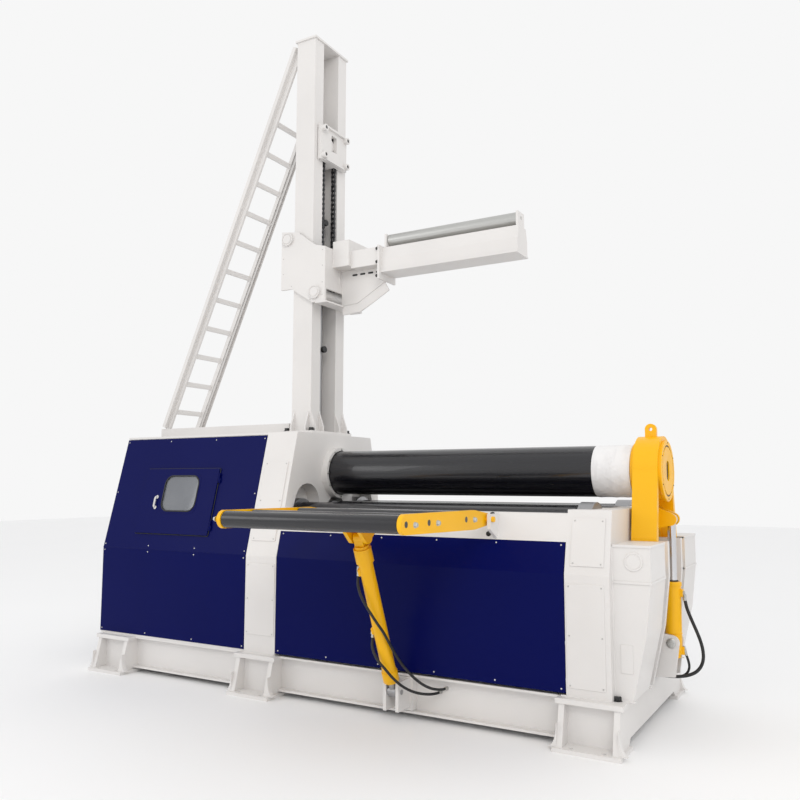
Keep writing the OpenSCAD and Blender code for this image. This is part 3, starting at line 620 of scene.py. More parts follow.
# ---------------------------------------------------------------- hoses
# Each hose: the body that it rides on, its diameter, the number of points on its path, where its
# first fitting stands on the barrel and the route, both in millimetres.
HOSES = {
    "drop_hose_upper": ("drop_barrel", 0.024, 34, (3258, 0, 956), [
        (3288, 0, 898), (3298, 1, 848), (3316, 3, 795), (3338, 6, 738), (3362, 9, 678),
        (3384, 12, 614), (3398, 12, 550), (3398, 12, 488), (3380, 10, 434), (3344, 6, 392),
        (3294, 0, 366), (3238, -6, 352), (3180, -12, 347), (3126, -14, 347), (3076, -14, 349)]),
    "drop_hose_lower": ("drop_barrel", 0.018, 24, (3250, 26, 548), [
        (3280, 28, 498), (3291, 29, 462), (3296, 31, 424), (3288, 32, 390), (3266, 32, 362),
        (3234, 31, 346), (3198, 30, 340), (3158, 29, 339), (3116, 28, 340), (3076, 28, 343)]),
    "table_hose_upper": ("table_barrel", 0.020, 38, (1350, -1362, 1142), [
        (1316, -1375, 1092), (1320, -1386, 1040), (1338, -1388, 980), (1362, -1380, 925),
        (1388, -1362, 870), (1412, -1335, 815), (1434, -1300, 757), (1450, -1255, 700),
        (1456, -1205, 640), (1463, -1155, 575), (1480, -1110, 505), (1508, -1070, 438),
        (1545, -1035, 380), (1588, -1005, 330), (1634, -978, 294), (1676, -944, 270),
        (1706, -902, 257), (1722, -858, 250), (1726, -829, 249)]),
    "table_hose_lower": ("table_barrel", 0.020, 30, (1342, -1180, 690), [
        (1312, -1172, 632), (1315, -1182, 578), (1336, -1188, 524), (1370, -1184, 474),
        (1408, -1164, 425), (1438, -1134, 375), (1466, -1100, 330), (1496, -1062, 290),
        (1534, -1024, 258), (1578, -986, 236), (1622, -946, 224), (1654, -902, 218),
        (1672, -858, 216), (1676, -829, 216)]),
}
NUT_L = 0.020
FITTING_L = 0.044
# A direction that no stretch of a hose runs along, for the sense of its rings.
HOSE_UP = (0.1, 1, 0.05)


def hose_end(end, inward, r):
    """Hexagon nut and sleeve behind a hose's end: turned about the hose's own direction."""
    nut = turned([(0, 0), (r + 0.004, 0), (r + 0.004, NUT_L), (0, NUT_L)], 12, hexagon)
    sleeve = turned([(0, 0), (r + 0.002, 0), (r + 0.002, FITTING_L - 0.004), (r, FITTING_L),
                     (0, FITTING_L)], 20)
    start = end - FITTING_L * inward
    return [set_at(nut, start, inward), set_at(sleeve, start, inward)]


class ROLLS_OT_hoses(bpy.types.Operator):
    """Lays the four hydraulic hoses of the drop cylinder and the table cylinder, with their fittings"""

    bl_idname = "rolls.hoses"
    bl_label = "Hydraulic hoses"

    def execute(self, context):
        fittings = {"drop_barrel": [], "table_barrel": [], "machine": []}
        elbows = {"drop_barrel": [], "table_barrel": []}
        block = turned([(0, -0.014), (0.014, -0.014), (0.016, -0.012), (0.016, 0.012),
                        (0.014, 0.014), (0, 0.014)], 4)
        tubes = []
        for name, (body, wide, count, port, route) in HOSES.items():
            path, length = smooth_path(np.array(route) / 1000, count)
            fine, _ = smooth_path(np.array(route) / 1000, 3 * count)
            tubes.append((name, body, wide, path, length, fine))
            out, back = unit(path[0] - path[1]), unit(path[-1] - path[-2])
            fittings[body] += hose_end(path[0], -out, wide / 2)
            fittings["machine"] += hose_end(path[-1], -back, wide / 2)
            corner = path[0] + (FITTING_L + 0.012) * out
            elbows[body].append(set_at(block, corner, out))
            stem = np.array([np.array(port) / 1000, corner])
            elbows[body].append(swept(smooth_path(stem, 6)[0], ring(0.010, 14), HOSE_UP))
        for body, shapes in fittings.items():
            add_piece(body + "_hose_ends", shapes, "zinc", body)
        for body, shapes in elbows.items():
            add_piece(body + "_elbows", shapes, "zinc", body)
        for name, body, wide, path, length, fine in tubes:
            tube = swept(fine, ring(wide / 2, 14), HOSE_UP)
            piece = add_piece(name, [tube], "hose_rubber", body, smooth=1.2)
        return {"FINISHED"}


# ---------------------------------------------------------------- screws and bolts
def panel_screws():
    """Screws round the edges of the blue sheets, as (places, normal) pairs."""
    low, high = low_high("housing_panels")
    bed_low, bed_high = low_high("bed_panels")
    top = (FRAME_HIGH[2] - BEND_Z) / math.cos(SLOPE) - 0.03
    inset, pitch = 0.024, 0.58
    drive = (-1, 0, 0)
    rows = []
    for side in (-1, 1):
        flat, lean = (0, side, 0), slope_normal(side)
        x, z = border(low[0] + 0.002, high[0], low[2], BEND_Z, inset, pitch).T
        rows.append((points_at(x, side * FRAME_HALF, z), flat))
        x, up = border(low[0] + 0.002, high[0], 0.01, top, inset, pitch).T
        rows.append((on_slope(x, up, 0, side), lean))
        x = np.linspace(bed_low[0] + 0.03, bed_high[0] - 0.03, 6)
        rows.append((points_at(x, side * FRAME_HALF, bed_low[2] + 0.025), flat))
        rows.append((on_slope(x, 0.2, 0, side), lean))
    rows.append((points_at(low[0], np.linspace(-0.8, 0.8, 5), low[2] + 0.025), drive))
    rows.append((points_at(low[0], np.linspace(-0.56, 0.56, 4), high[2] - 0.03), drive))
    for side in (-1, 1):
        z = np.linspace(low[2] + 0.3, BEND_Z - 0.05, 3)
        rows.append((points_at(low[0], side * (FRAME_HALF - 0.035), z), drive))
        rows.append((on_slope(low[0], np.linspace(0.2, top - 0.25, 3), -0.03, side), drive))
    return rows


def cover_screws():
    """Corner and side screws of the white covers on both frames."""
    rows = []
    for x0, x1, u0, u1 in HIGH_COVERS:
        x, up = border(x0, x1, u0, u1, 0.018, 0.38).T
        rows.append((on_slope(x, up, 0.008), slope_normal()))
    for x0, x1, z0 in LOW_COVERS:
        x, z = border(x0, x1, z0, COVER_TOP, 0.018, 0.36).T
        for side in (-1, 1):
            rows.append((points_at(x, side * (FRAME_HALF + 0.006), z), (0, side, 0)))
    return rows


class ROLLS_OT_panel_screws(bpy.types.Operator):
    """Sets the small white button screws round the sheet panels and covers"""

    bl_idname = "rolls.panel_screws"
    bl_label = "Panel screws"

    def execute(self, context):
        wide = context.scene.rolls_fittings.screw_d
        head, small = button_screw(wide), button_screw(0.8 * wide)
        rows = panel_screws()
        add_piece("panel_screws", [set_at(head, p, n) for p, n in rows], "screw_white", "machine")
        rows = cover_screws()
        add_piece("cover_screws", [set_at(head, p, n) for p, n in rows], "zinc", "machine")
        edge = [(-0.27, 4.05), (-0.27, 3.90), (-0.27, 3.75), (-0.07, 4.12), (0.08, 4.02), (0.19, 3.93),
                (0.19, 3.78), (0.19, 3.62), (0.19, 3.50), (0.05, 3.47), (-0.17, 3.62)]
        rows = [set_at(small, [(x, side * CARRIAGE_HALF, z) for x, z in edge], (0, side, 0))
                for side in (-1, 1)]
        add_piece("carriage_screws", rows, "zinc", "carriage")
        return {"FINISHED"}


class ROLLS_OT_bolts(bpy.types.Operator):
    """Sets the black and zinc hexagon bolts on the base, frames, mast, table and arm"""

    bl_idname = "rolls.bolts"
    bl_label = "Bolts"

    def execute(self, context):
        wide = context.scene.rolls_fittings.bolt_d
        big, mid, small = hex_bolt(wide), hex_bolt(0.6 * wide), hex_bolt(0.4 * wide)
        base = [(2.994, s * y, BASE_TOP) for s in (-1, 1) for y in (0.809, 0.52, 0.22)]
        mast = [(x, s * 0.295, MAST_FOOT_Z) for x in (-0.195, 0.085) for s in (-1, 1)]
        ladder = [(-1.885, s * 0.27, FRAME_HIGH[2]) for s in (-1, 1)]
        add_piece("base_bolts", [set_at(big, base, UP)], "black_bolt", "machine")
        add_piece("mast_bolts", [set_at(big, mast, UP), set_at(mid, ladder, UP)], "black_bolt", "machine")
        plate_x = low_high("drop_foot")[0][0] + 0.06
        plate = [(plate_x, s * 0.122, z) for s in (-1, 1) for z in (0.388, 0.492, 0.594)]
        add_piece("drop_foot_bolts", [set_at(mid, plate, ALONG)], "black_bolt", "machine")
        t = np.linspace(0, 2 * np.pi, 12, endpoint=False)
        y, z = 0.219 * np.cos(t), TOP_ROLL_Z + 0.219 * np.sin(t)
        collar = points_at(low_high("roll_ring")[1][0], y, z)
        add_piece("ring_bolts", [set_at(small, collar, ALONG)], "zinc", "machine")
        low, high = low_high("table_frame")
        rows = [set_at(mid, [(x, y, TABLE_PINS_Z) for y in TABLE_PINS_Y], (s, 0, 0))
                for x, s in ((low[0], -1), (high[0], 1))]
        add_piece("table_cap_bolts", rows, "zinc", "table")
        places = [on_slope(x, (z - BEND_Z) / math.cos(SLOPE), out)[0]
                  for x in (0.66, 2.11) for z, out in ((1.375, 0.07), (1.52, 0.03))]
        add_piece("table_bracket_bolts", [set_at(mid, places, slope_normal())], "black_bolt", "machine")
        flange = [(ARM_FLANGE_X, s * 0.14, z) for s in (-1, 1) for z in (3.65, 3.78, 3.905)]
        add_piece("arm_flange_bolts", [set_at(mid, flange, (-1, 0, 0))], "black_bolt", "carriage")
        foot = [(x, -0.801, z) for x in (1.235, 1.455) for z in (0.095, 0.275)]
        add_piece("table_foot_bolts", [set_at(mid, foot, (0, -1, 0))], "black_bolt", "machine")
        return {"FINISHED"}


# ---------------------------------------------------------------- door
def rounded_loop(x0, x1, u0, u1, r, count=12):
    """Closed line of a rectangle with round corners: quarter circles of radius r at its corners."""
    corners = ((x1 - r, u1 - r), (x0 + r, u1 - r), (x0 + r, u0 + r), (x1 - r, u0 + r))
    parts = []
    for quarter, (x, u) in enumerate(corners):
        a = np.linspace(0, np.pi / 2, count) + quarter * np.pi / 2
        parts.append(points_at(x + r * np.cos(a), u + r * np.sin(a)))
    return np.vstack(parts)


class ROLLS_OT_door_fittings(bpy.types.Operator):
    """Puts the surround and gasket round the door's window, the door's seal and the sheets' fold"""

    bl_idname = "rolls.door_fittings"
    bl_label = "Door fittings"

    def execute(self, context):
        x0, x1, u0, u1 = WINDOW
        rim = 0.021
        inner = rounded_loop(x0, x1, u0, u1, 0.085)
        outer = rounded_loop(x0 - rim, x1 + rim, u0 - rim, u1 + rim, 0.070)
        rows = [on_slope(*line.T, out) for line, out in (
            (inner, 0.0135), (inner, 0.0205), (outer, 0.0205), (outer, 0.0185), (inner, 0.0135))]
        surround = (np.vstack(rows), grid_faces(len(rows), len(inner)))
        add_piece("window_surround", [surround], "panel_blue", "door")
        gasket = swept(on_slope(*inner.T, 0.0205), ring(0.0065, 10), slope_normal(), closed=True)
        add_piece("window_gasket", [gasket], "gasket_rubber", "door")
        seal = rounded_loop(DOOR_X - 0.003, DOOR_X + 0.928, DOOR_LOW - 0.003, DOOR_LOW + 0.6239, 0.012)
        strip = swept(on_slope(*seal.T, 0.004), ring(0.0045, 8), slope_normal(), closed=True)
        add_piece("door_seal", [strip], "gasket_rubber", "machine")
        fold = []
        for side in (-1, 1):
            x = np.linspace(DECK_LOW[0] + 0.004, FRAME_LOW[0] - 0.004, 30)
            line = points_at(x, side * (FRAME_HALF - 0.0052), BEND_Z)
            fold.append(swept(line, ring(0.0068, 16), (0, side, 0.12)))
        add_piece("panel_fold", fold, "panel_blue", "machine", smooth=1.2)
        return {"FINISHED"}


# ---------------------------------------------------------------- plates and trims
def slab(outline, thick, edge=0.002, middle=None):
    """Flat plate standing on Z = 0: its outline goes straight up, then in by the edge's chamfer, and
    both faces close in a pole at the outline's middle. Point = middle + (outline - middle) * share."""
    outline = np.array(outline, float)
    middle = outline.mean(0) if middle is None else np.array(middle, float)
    reach = np.linalg.norm(outline - middle, axis=1).mean()
    rows = [(0, -0.001), (1, -0.001), (1, thick - edge), (1 - edge / reach, thick), (0, thick)]
    return stacked((middle + (outline - middle) * share, height) for share, height in rows)


def stacked(rows):
    """Surface through closed flat lines, each a pair of its outline and the height that it lies at."""
    points = [points_at(*outline.T, height) for outline, height in rows]
    return np.vstack(points), grid_faces(len(points), len(points[0]))


def rounded(wide, high, r, count=6):
    """Outline of a rectangle about the origin with quarter circles of radius r at its corners."""
    return rounded_loop(-wide / 2, wide / 2, -high / 2, high / 2, r, count)


class ROLLS_OT_frame_plates(bpy.types.Operator):
    """Adds the lower covers, the hinge caps, the ears' lips, the feet's flares and the mast's gussets"""

    bl_idname = "rolls.frame_plates"
    bl_label = "Frame plates"

    def execute(self, context):
        plates = []
        for x0, x1, z0 in LOW_COVERS:
            plate = slab(rounded(x1 - x0, COVER_TOP - z0, 0.008), 0.006)
            for side in (-1, 1):
                middle = ((x0 + x1) / 2, side * FRAME_HALF, (z0 + COVER_TOP) / 2)
                plates.append(set_at(plate, middle, (0, side, 0), UP))
        add_piece("lower_covers", plates, "frame_white", "machine")
        cap = turned([(0, -0.001), (0.062, -0.001), (0.062, 0.006), (0.060, 0.008), (0.052, 0.008),
                      (0.050, 0.005), (0.047, 0.005), (0.045, 0.008), (0, 0.008)], 48)
        caps = [set_at(cap, (HINGE[0], side * EAR_HIGH[1], HINGE[2]), (0, side, 0))
                for side in (-1, 1)]
        add_piece("hinge_caps", caps, "frame_white", "machine")
        self.add_ear_lips()
        self.add_foot_flares()
        self.add_mast_gussets()
        return {"FINISHED"}

    def add_ear_lips(self):
        """Plates across the hinge ears' tops and shoulders, and a pad on each ear's face."""
        reach, over = 0.006, 0.008
        end = EAR_HIGH[0] + reach
        lip = slab(rounded(end - FRAME_END, EAR_HIGH[1] - EAR_IN + over, 0.012), 0.014)
        pad = slab(rounded(0.080, 0.185, 0.006), 0.006)
        lips = []
        for side in (-1, 1):
            for z in (1.091, EAR_HIGH[2] - 0.010):
                middle = ((end + FRAME_END) / 2, side * (EAR_HIGH[1] + EAR_IN + over) / 2, z)
                lips.append(set_at(lip, middle, UP, (0, 1, 0)))
            lips.append(set_at(pad, (3.062, side * EAR_HIGH[1], 0.600), (0, side, 0), UP))
        add_piece("ear_lips", lips, "frame_white", "machine")

    def add_foot_flares(self):
        """Webs that flare out at the foot of each beam's cheeks: their edge is a quarter ellipse."""
        wide, tall, thick = 0.055, 0.150, 0.040
        out, plate_t = 0.972, 0.028
        t = np.linspace(0, np.pi / 2, 7)
        curve = [(wide - wide * math.sin(a), tall - tall * math.cos(a)) for a in t]
        flare = slab([(-0.002, 0)] + curve + [(-0.002, tall)], thick, middle=(0.002, 0.01))
        flares = []
        for cheeks in BEAM_CHEEKS:
            for side in (-1, 1):
                for x, turn in zip(cheeks, (-1, 1)):
                    place = (x, side * out + thick / 2, plate_t)
                    points, faces = set_at(flare, place, (0, -1, 0), UP)
                    points[:, 0] = x + turn * (points[:, 0] - x)
                    flares.append((points, faces))
        add_piece("foot_flares", flares, "frame_white", "machine")

    def add_mast_gussets(self):
        """Four-sided gussets at the mast's foot, two on each face that they stand square to."""
        thick = 0.016
        gusset = slab([(0, 0), (0.053, 0), (0.053, 0.045), (0, GUSSET_H)], thick, 0.001)
        gussets = []
        for side in (-1, 1):
            for y in (0.265, 0.141):
                place = (0.0545, side * y + (thick if side < 0 else 0), MAST_FOOT_Z)
                gussets.append(set_at(gusset, place, (0, -1, 0), UP))
            for x in (-0.145, 0.019):
                place = (x + (thick if side < 0 else 0), side * 0.2645, MAST_FOOT_Z)
                gussets.append(set_at(gusset, place, (side, 0, 0), UP))
        add_piece("mast_gussets", gussets, "frame_white", "machine")


class ROLLS_OT_bearing_cover(bpy.types.Operator):
    """Makes the yoke's bearing cover: a turned disc with a ring groove and a slot, both lined with painted
    shade
    """

    bl_idname = "rolls.bearing_cover"
    bl_label = "Bearing cover"

    def execute(self, context):
        low, high = low_high("bearing_cover")
        place = (high[0], 0, (low[2] + high[2]) / 2)
        t = np.linspace(0, 2 * np.pi, 96, endpoint=False)
        circle = points_at(np.cos(t), np.sin(t))
        # The slot is a circle whose halves are drawn apart, with a short blend between them.
        slot = 0.046 * circle
        slot[:, 1] += 0.030 * np.sign(np.sin(t)) * np.clip(6 * abs(np.sin(t)), 0, 1)
        rows = [(0 * slot, -0.012), (slot, -0.012), (slot, -0.001), (1.06 * slot, 0)]
        rows += [(r * circle, depth) for r, depth in (
            (0.180, 0), (0.182, -0.005), (0.193, -0.005), (0.195, 0), (0.226, 0), (0.230, -0.004),
            (0.230, low[0] - high[0]), (0, low[0] - high[0]))]
        disc = set_at(stacked(rows), place, ALONG, UP)
        piece = add_piece("bearing_cover_plate", [disc], "lift_orange", "yoke", smooth=0.5)
        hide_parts("bearing_cover")
        # Painted shade: a black sheet on the slot's floor and a black ring in the groove stand in for their
        # shade.
        shade = stacked([(0 * slot, -0.0118), (0.99 * slot, -0.0118), (0.99 * slot, -0.0108),
                         (0 * slot, -0.0108)])
        groove = turned([(0.183, -0.0055), (0.192, -0.0055), (0.192, -0.0035), (0.183, -0.0035),
                         (0.183, -0.0055)], 96)
        dark = [set_at(shape, place, ALONG, UP) for shape in (shade, groove)]
        add_piece("bearing_cover_slot_shade", dark, "gasket_rubber", "yoke")
        t = np.linspace(0, 2 * np.pi, 6, endpoint=False) + 0.5
        spots = points_at(high[0], 0.211 * np.cos(t), place[2] + 0.211 * np.sin(t))
        screws = set_at(button_screw(0.011), spots, ALONG)
        add_piece("bearing_cover_screws", [screws], "black_bolt", "yoke")
        return {"FINISHED"}


# ---------------------------------------------------------------- chain
TEETH = 12


def chain_places(r, top, low, teeth):
    """Centres of a chain's rollers: up one run, round the wheel's upper half in steps of a whole turn
    over the teeth, and down the other run, a pitch of 2 r sin(half a step) apart."""
    step = 2 * np.pi / teeth
    pitch = 2 * r * math.sin(step / 2)
    rise = top - pitch * np.arange(int((top - low) / pitch), 0, -1)
    turn = np.arange(teeth // 2 + 1) * step
    over = points_at(r * np.cos(turn), top + r * np.sin(turn))
    return np.vstack([points_at(r, rise), over, points_at(-r, rise[::-1])]), pitch


def link_plate(pitch, r, waist, thick):
    """Side plate of a chain link: at the angle t about an end it keeps the distance r, and between
    the ends its edge dips towards the waist as a cosine."""
    t = np.linspace(-np.pi / 2, np.pi / 2, 7)
    right = points_at(pitch / 2 + r * np.cos(t), r * np.sin(t))
    s = np.linspace(pitch / 2, -pitch / 2, 5)[1:-1]
    dip = points_at(s, r - (r - waist) * (0.5 + 0.5 * np.cos(2 * np.pi * s / pitch)))
    return slab(np.vstack([right, dip, -right, -dip]), thick, 0.0008)


def toothed(t):
    """Reach of the sprocket's edge at angle t: 1 at a tooth, and lower by a cosine between two."""
    return 1 - 0.13 * (0.5 + 0.5 * np.cos(TEETH * t)) ** 0.7


class ROLLS_OT_chain(bpy.types.Operator):
    """Makes the roller chain over the crosshead's sprocket, link by link, and the sprocket's teeth"""

    bl_idname = "rolls.chain"
    bl_label = "Lift chain"

    def execute(self, context):
        low, high = low_high("lift_chains")
        middle = (low[0] + high[0]) / 2
        reach = (high[1] - low[1]) / 2
        top = high[2] - reach
        places, pitch = chain_places(reach - 0.012, top, low[2] + 0.014, TEETH)
        roller = turned([(0, -0.0125), (0.0118, -0.0125), (0.0118, 0.0125), (0, 0.0125)], 14)
        pin = turned([(0, -0.0215), (0.0065, -0.0215), (0.0075, -0.0195), (0.0075, 0.0195),
                      (0.0065, 0.0215), (0, 0.0215)], 12)
        spots = points_at(middle, *places.T)
        shapes = [set_at(roller, spots, ALONG), set_at(pin, spots, ALONG)]
        plate_t = 0.0032
        plate = link_plate(pitch, 0.0155, 0.0095, plate_t)
        for k, (a, b) in enumerate(zip(spots[:-1], spots[1:])):
            for side in (-1, 1):
                # Every second link has its plates outside those of its neighbours.
                out = side * (0.0128 + (plate_t + 0.0002) * (k % 2))
                shapes.append(set_at(plate, (a + b) / 2 + np.array((out, 0, 0)), (side, 0, 0),
                                     np.cross((side, 0, 0), b - a)))
        chain = add_piece("roller_chain", shapes, "oiled_steel", "crosshead")
        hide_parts("lift_chains")
        wheel = turned([(0.070, -0.0115), (0.098, -0.0095), (0.100, -0.006), (0.100, 0.006),
                        (0.098, 0.0095), (0.070, 0.0115), (0.070, -0.0115)], 12 * TEETH, toothed)
        wheel = set_at(wheel, (middle, 0, top), ALONG, UP)
        add_piece("sprocket_teeth", [wheel], "turned_steel", "crosshead")
        return {"FINISHED"}


# ---------------------------------------------------------------- cylinders
ROD_HOLE = 0.0305
TABLE_TUBE = 0.052


def seam(r):
    """Weld round a tube of radius r: a low ridge, three corners of a profile turned about it."""
    return turned([(r - 0.002, -0.004), (r + 0.0035, 0.0), (r - 0.002, 0.004), (r - 0.002, -0.004)], 48)


class ROLLS_OT_cylinder_trim(bpy.types.Operator):
    """Adds glands, end caps, seams and port blocks to the cylinders, and the mast cylinder's head"""

    bl_idname = "rolls.cylinder_trim"
    bl_label = "Cylinder trim"

    def execute(self, context):
        tube = (low_high("drop_barrel")[1][0] - DROP_FOOT[0]) - 0.0045
        gland = turned([(ROD_HOLE, -0.006), (tube + 0.0045, -0.006), (tube + 0.0045, 0.018),
                        (tube - 0.004, 0.0235), (ROD_HOLE, 0.0235), (ROD_HOLE, -0.006)], 48)
        base = turned([(0, -0.026), (tube - 0.014, -0.026), (tube - 0.010, -0.022),
                       (tube - 0.010, 0.001), (0, 0.001)], 40)
        shapes = [set_at(shape, DROP_FOOT + up * DROP_ALONG, DROP_ALONG) for shape, up in (
            (gland, DROP_TUBE_L), (base, -0.090), (seam(tube), 0.060), (seam(tube), -0.066))]
        block = slab(rounded(0.052, 0.056, 0.008), 0.020)
        for up, y in ((0.352, 0), (-0.066, 0.020)):
            place = DROP_FOOT + up * DROP_ALONG + np.array((tube - 0.006, y, 0))
            shapes.append(set_at(block, place, ALONG, UP))
        add_piece("drop_barrel_trim", shapes, "lift_orange", "drop_barrel")
        tube = TABLE_TUBE
        cap = turned([(ROD_HOLE, 0), (tube + 0.006, 0), (tube + 0.008, 0.003), (tube + 0.008, 0.080),
                      (tube + 0.004, 0.086), (tube - 0.001, 0.086), (ROD_HOLE, 0)], 48)
        shapes = [set_at(shape, TABLE_FOOT + up * TABLE_ALONG, TABLE_ALONG) for shape, up in (
            (cap, 0.0899), (seam(tube), TABLE_L - 0.190))]
        block = slab(rounded(0.046, 0.052, 0.008), 0.020)
        for up, sway in ((TABLE_L - 0.262, 0.46), (0.505, 0.10)):
            out = np.array((-math.cos(sway), -math.sin(sway), 0))
            out = unit(out - TABLE_ALONG * (out @ TABLE_ALONG))
            place = TABLE_FOOT + up * TABLE_ALONG + (tube - 0.007) * out
            shapes.append(set_at(block, place, out, TABLE_ALONG))
        add_piece("table_barrel_trim", shapes, "lift_orange", "table_barrel")
        low, high = low_high("mast_cylinder")
        tube = (high[0] - low[0]) / 2
        head = turned([(0.036, -0.085), (tube + 0.010, -0.085), (tube + 0.012, -0.080),
                       (tube + 0.012, -0.004), (tube + 0.008, 0.004), (0.036, 0.004),
                       (0.036, -0.085)], 48)
        head = set_at(head, ((low[0] + high[0]) / 2, 0, high[2]), UP)
        add_piece("mast_cylinder_head", [head], "black_bolt", "machine")
        return {"FINISHED"}


class ROLLS_OT_door_handle(bpy.types.Operator):
    """Puts the white bar handle on the access door"""

    bl_idname = "rolls.door_handle"
    bl_label = "Door handle"

    def execute(self, context):
        x = DOOR_X + 0.205
        low, high, stand, bend = DOOR_LOW + 0.245, DOOR_LOW + 0.345, 0.040, 0.016
        t = np.linspace(0, np.pi / 2, 6)
        line = [(low, 0.016), (low, 0.020)]
        line += [(low + bend * (1 - math.cos(a)), stand - bend + bend * math.sin(a)) for a in t]
        line += [(high - bend * (1 - math.cos(a)), stand - bend + bend * math.sin(a)) for a in t[::-1]]
        line += [(high, 0.020), (high, 0.016)]
        up, out = np.array(line).T
        bar = swept(on_slope(x, up, out), ring(0.010, 14, 0.8), ALONG)
        foot = turned([(0, -0.001), (0.017, -0.001), (0.017, 0.003), (0.013, 0.005), (0, 0.005)], 24)
        feet = set_at(foot, on_slope(x, [low, high], 0.019), slope_normal())
        add_piece("door_bar_handle", [bar, feet], "frame_white", "door")
        return {"FINISHED"}


# ---------------------------------------------------------------- ladder, crosshead and arm
RUNGS = 11
RUNG_R = 0.013


class ROLLS_OT_ladder_trim(bpy.types.Operator):
    """Gives the ladder its channel stringers and flat treads"""

    bl_idname = "rolls.ladder_trim"
    bl_label = "Ladder channels and treads"

    def execute(self, context):
        low, high = low_high("ladder")
        rung_low, rung_high = low_high("ladder_rungs")
        foot = np.array((low[0] + 0.0314, 0, low[2]))
        lean = math.atan2(low_high("mast")[0][0] + 0.045 - foot[0], high[2] - 0.020 - foot[2])
        along = np.array((math.sin(lean), 0, math.cos(lean)))
        run = (high[2] - low[2]) / along[2]
        half, depth, t = 0.044, 0.040, 0.005
        channel = np.array([(-half, 0), (half, 0), (half, depth), (half - t, depth), (half - t, t),
                            (-half + t, t), (-half + t, depth), (-half, depth)])
        shapes = []
        for side in (-1, 1):
            start = foot + (0, side * high[1], 0) + 0.01 * along
            path = start + np.linspace(0, run - 0.045, 12)[:, None] * along
            shapes.append(swept(path, channel[::side], (side, 0, 0)))
        add_piece("ladder_channels", shapes, "frame_white", "machine")
        # The middle of each rung lies between the middles of the lowest and the highest.
        first, last = rung_low + RUNG_R, rung_high - RUNG_R
        treads = []
        for z in np.linspace(first[2], last[2], RUNGS):
            x = first[0] + (z - first[2]) / (last[2] - first[2]) * (last[0] - first[0])
            path = points_at(x, np.linspace(rung_low[1], rung_high[1], 4), z)
            treads.append(swept(path, rounded(0.030, 0.050, 0.006, 3), UP))
        add_piece("ladder_treads", treads, "frame_white", "machine")
        return {"FINISHED"}


class ROLLS_OT_crosshead_trim(bpy.types.Operator):
    """Adds the crosshead's ribs and bosses with painted shade in their holes, the roller caps, the arm
    bracket's flanges with painted shade in its slots, the mast's ports and the caps on the drop cylinder's
    pin"""

    bl_idname = "rolls.crosshead_trim"
    bl_label = "Crosshead and bracket trim"

    def execute(self, context):
        high = low_high("crosshead")[1]
        boss = turned([(0.017, -0.001), (0.033, -0.001), (0.033, 0.012), (0.030, 0.015),
                       (0.020, 0.015), (0.017, 0.012), (0.017, -0.001)], 32)
        # Painted shade: black discs in the bosses stand in for the shade of their holes.
        hole = turned([(0, -0.001), (0.0175, -0.001), (0.0175, 0.009), (0, 0.009)], 24)
        places = [(high[0], y, z) for y in (-0.185, 0.185) for z in (4.910, 5.180)]
        rib = slab(rounded(0.310, 0.020, 0.003, 3), 0.024)
        shapes = [set_at(rib, (high[0] - 0.030, 0, z), ALONG, UP) for z in (4.881, 5.209)]
        shapes.append(set_at(boss, places, ALONG))
        add_piece("crosshead_bosses", shapes, "frame_white", "crosshead")
        add_piece("crosshead_hole_shades", [set_at(hole, places, ALONG)], "black_bolt", "crosshead")
        cap = turned([(0, -0.001), (0.062, -0.001), (0.062, 0.010), (0.059, 0.012), (0.055, 0.012),
                      (0.053, 0.006), (0.044, 0.006), (0.042, 0.012), (0, 0.012)], 48)
        out = low_high("carriage_rollers")[1][1]
        shapes = [set_at(cap, (x, side * out, z), (0, side, 0))
                  for x, z in CARRIAGE_PINS for side in (-1, 1)]
        add_piece("roller_caps", shapes, "frame_white", "carriage")
        low, high = low_high("arm_bracket")
        under = np.array([(low[0] + 0.002, 0, 3.437), (0.31, 0, 3.4425), (0.40, 0, 3.447),
                          (0.55, 0, 3.527), (high[0] - 0.02, 0, 3.612)])
        flange = swept(under, rounded(0.172, 0.016, 0.003, 3), (0, 1, 0))
        shelf = slab(rounded(0.130, 0.614, 0.006, 3), 0.014)
        shapes = [flange, set_at(shelf, (0.180, 0, 3.426), UP, (0, 1, 0))]
        add_piece("bracket_flanges", shapes, "frame_white", "carriage")
        # Painted shade: thin black plates on the bracket's sides stand in for the shade inside its slots.
        slot = slab(rounded(0.058, 0.018, 0.0085, 4), 0.0025, 0.0005)
        shapes = [set_at(slot, (low[0] + 0.15 + 0.088 * i, side * 0.0145, 3.725), (0, side, 0), UP)
                  for side in (-1, 1) for i in range(4)]
        add_piece("bracket_slot_shades", shapes, "gasket_rubber", "carriage")
        knob = turned([(0, -0.03), (0.016, -0.03), (0.016, 0), (0.030, 0.002), (0.032, 0.008),
                       (0.032, 0.030), (0.028, 0.034), (0, 0.034)], 28)
        ports = set_at(knob, [(-0.012, 0.004, 4.300), (-0.012, 0.004, 3.040)], (1, -0.1, 0))
        add_piece("mast_ports", [ports], "black_bolt", "machine")
        washer = turned([(0, -0.001), (0.034, -0.001), (0.034, 0.003), (0.031, 0.005),
                         (0.017, 0.005), (0.016, 0.010), (0, 0.011)], 32)
        caps = [set_at(washer, DROP_FOOT + (0, side * 0.104, 0), (0, side, 0)) for side in (-1, 1)]
        add_piece("drop_pin_caps", caps, "zinc", "drop_barrel")
        return {"FINISHED"}


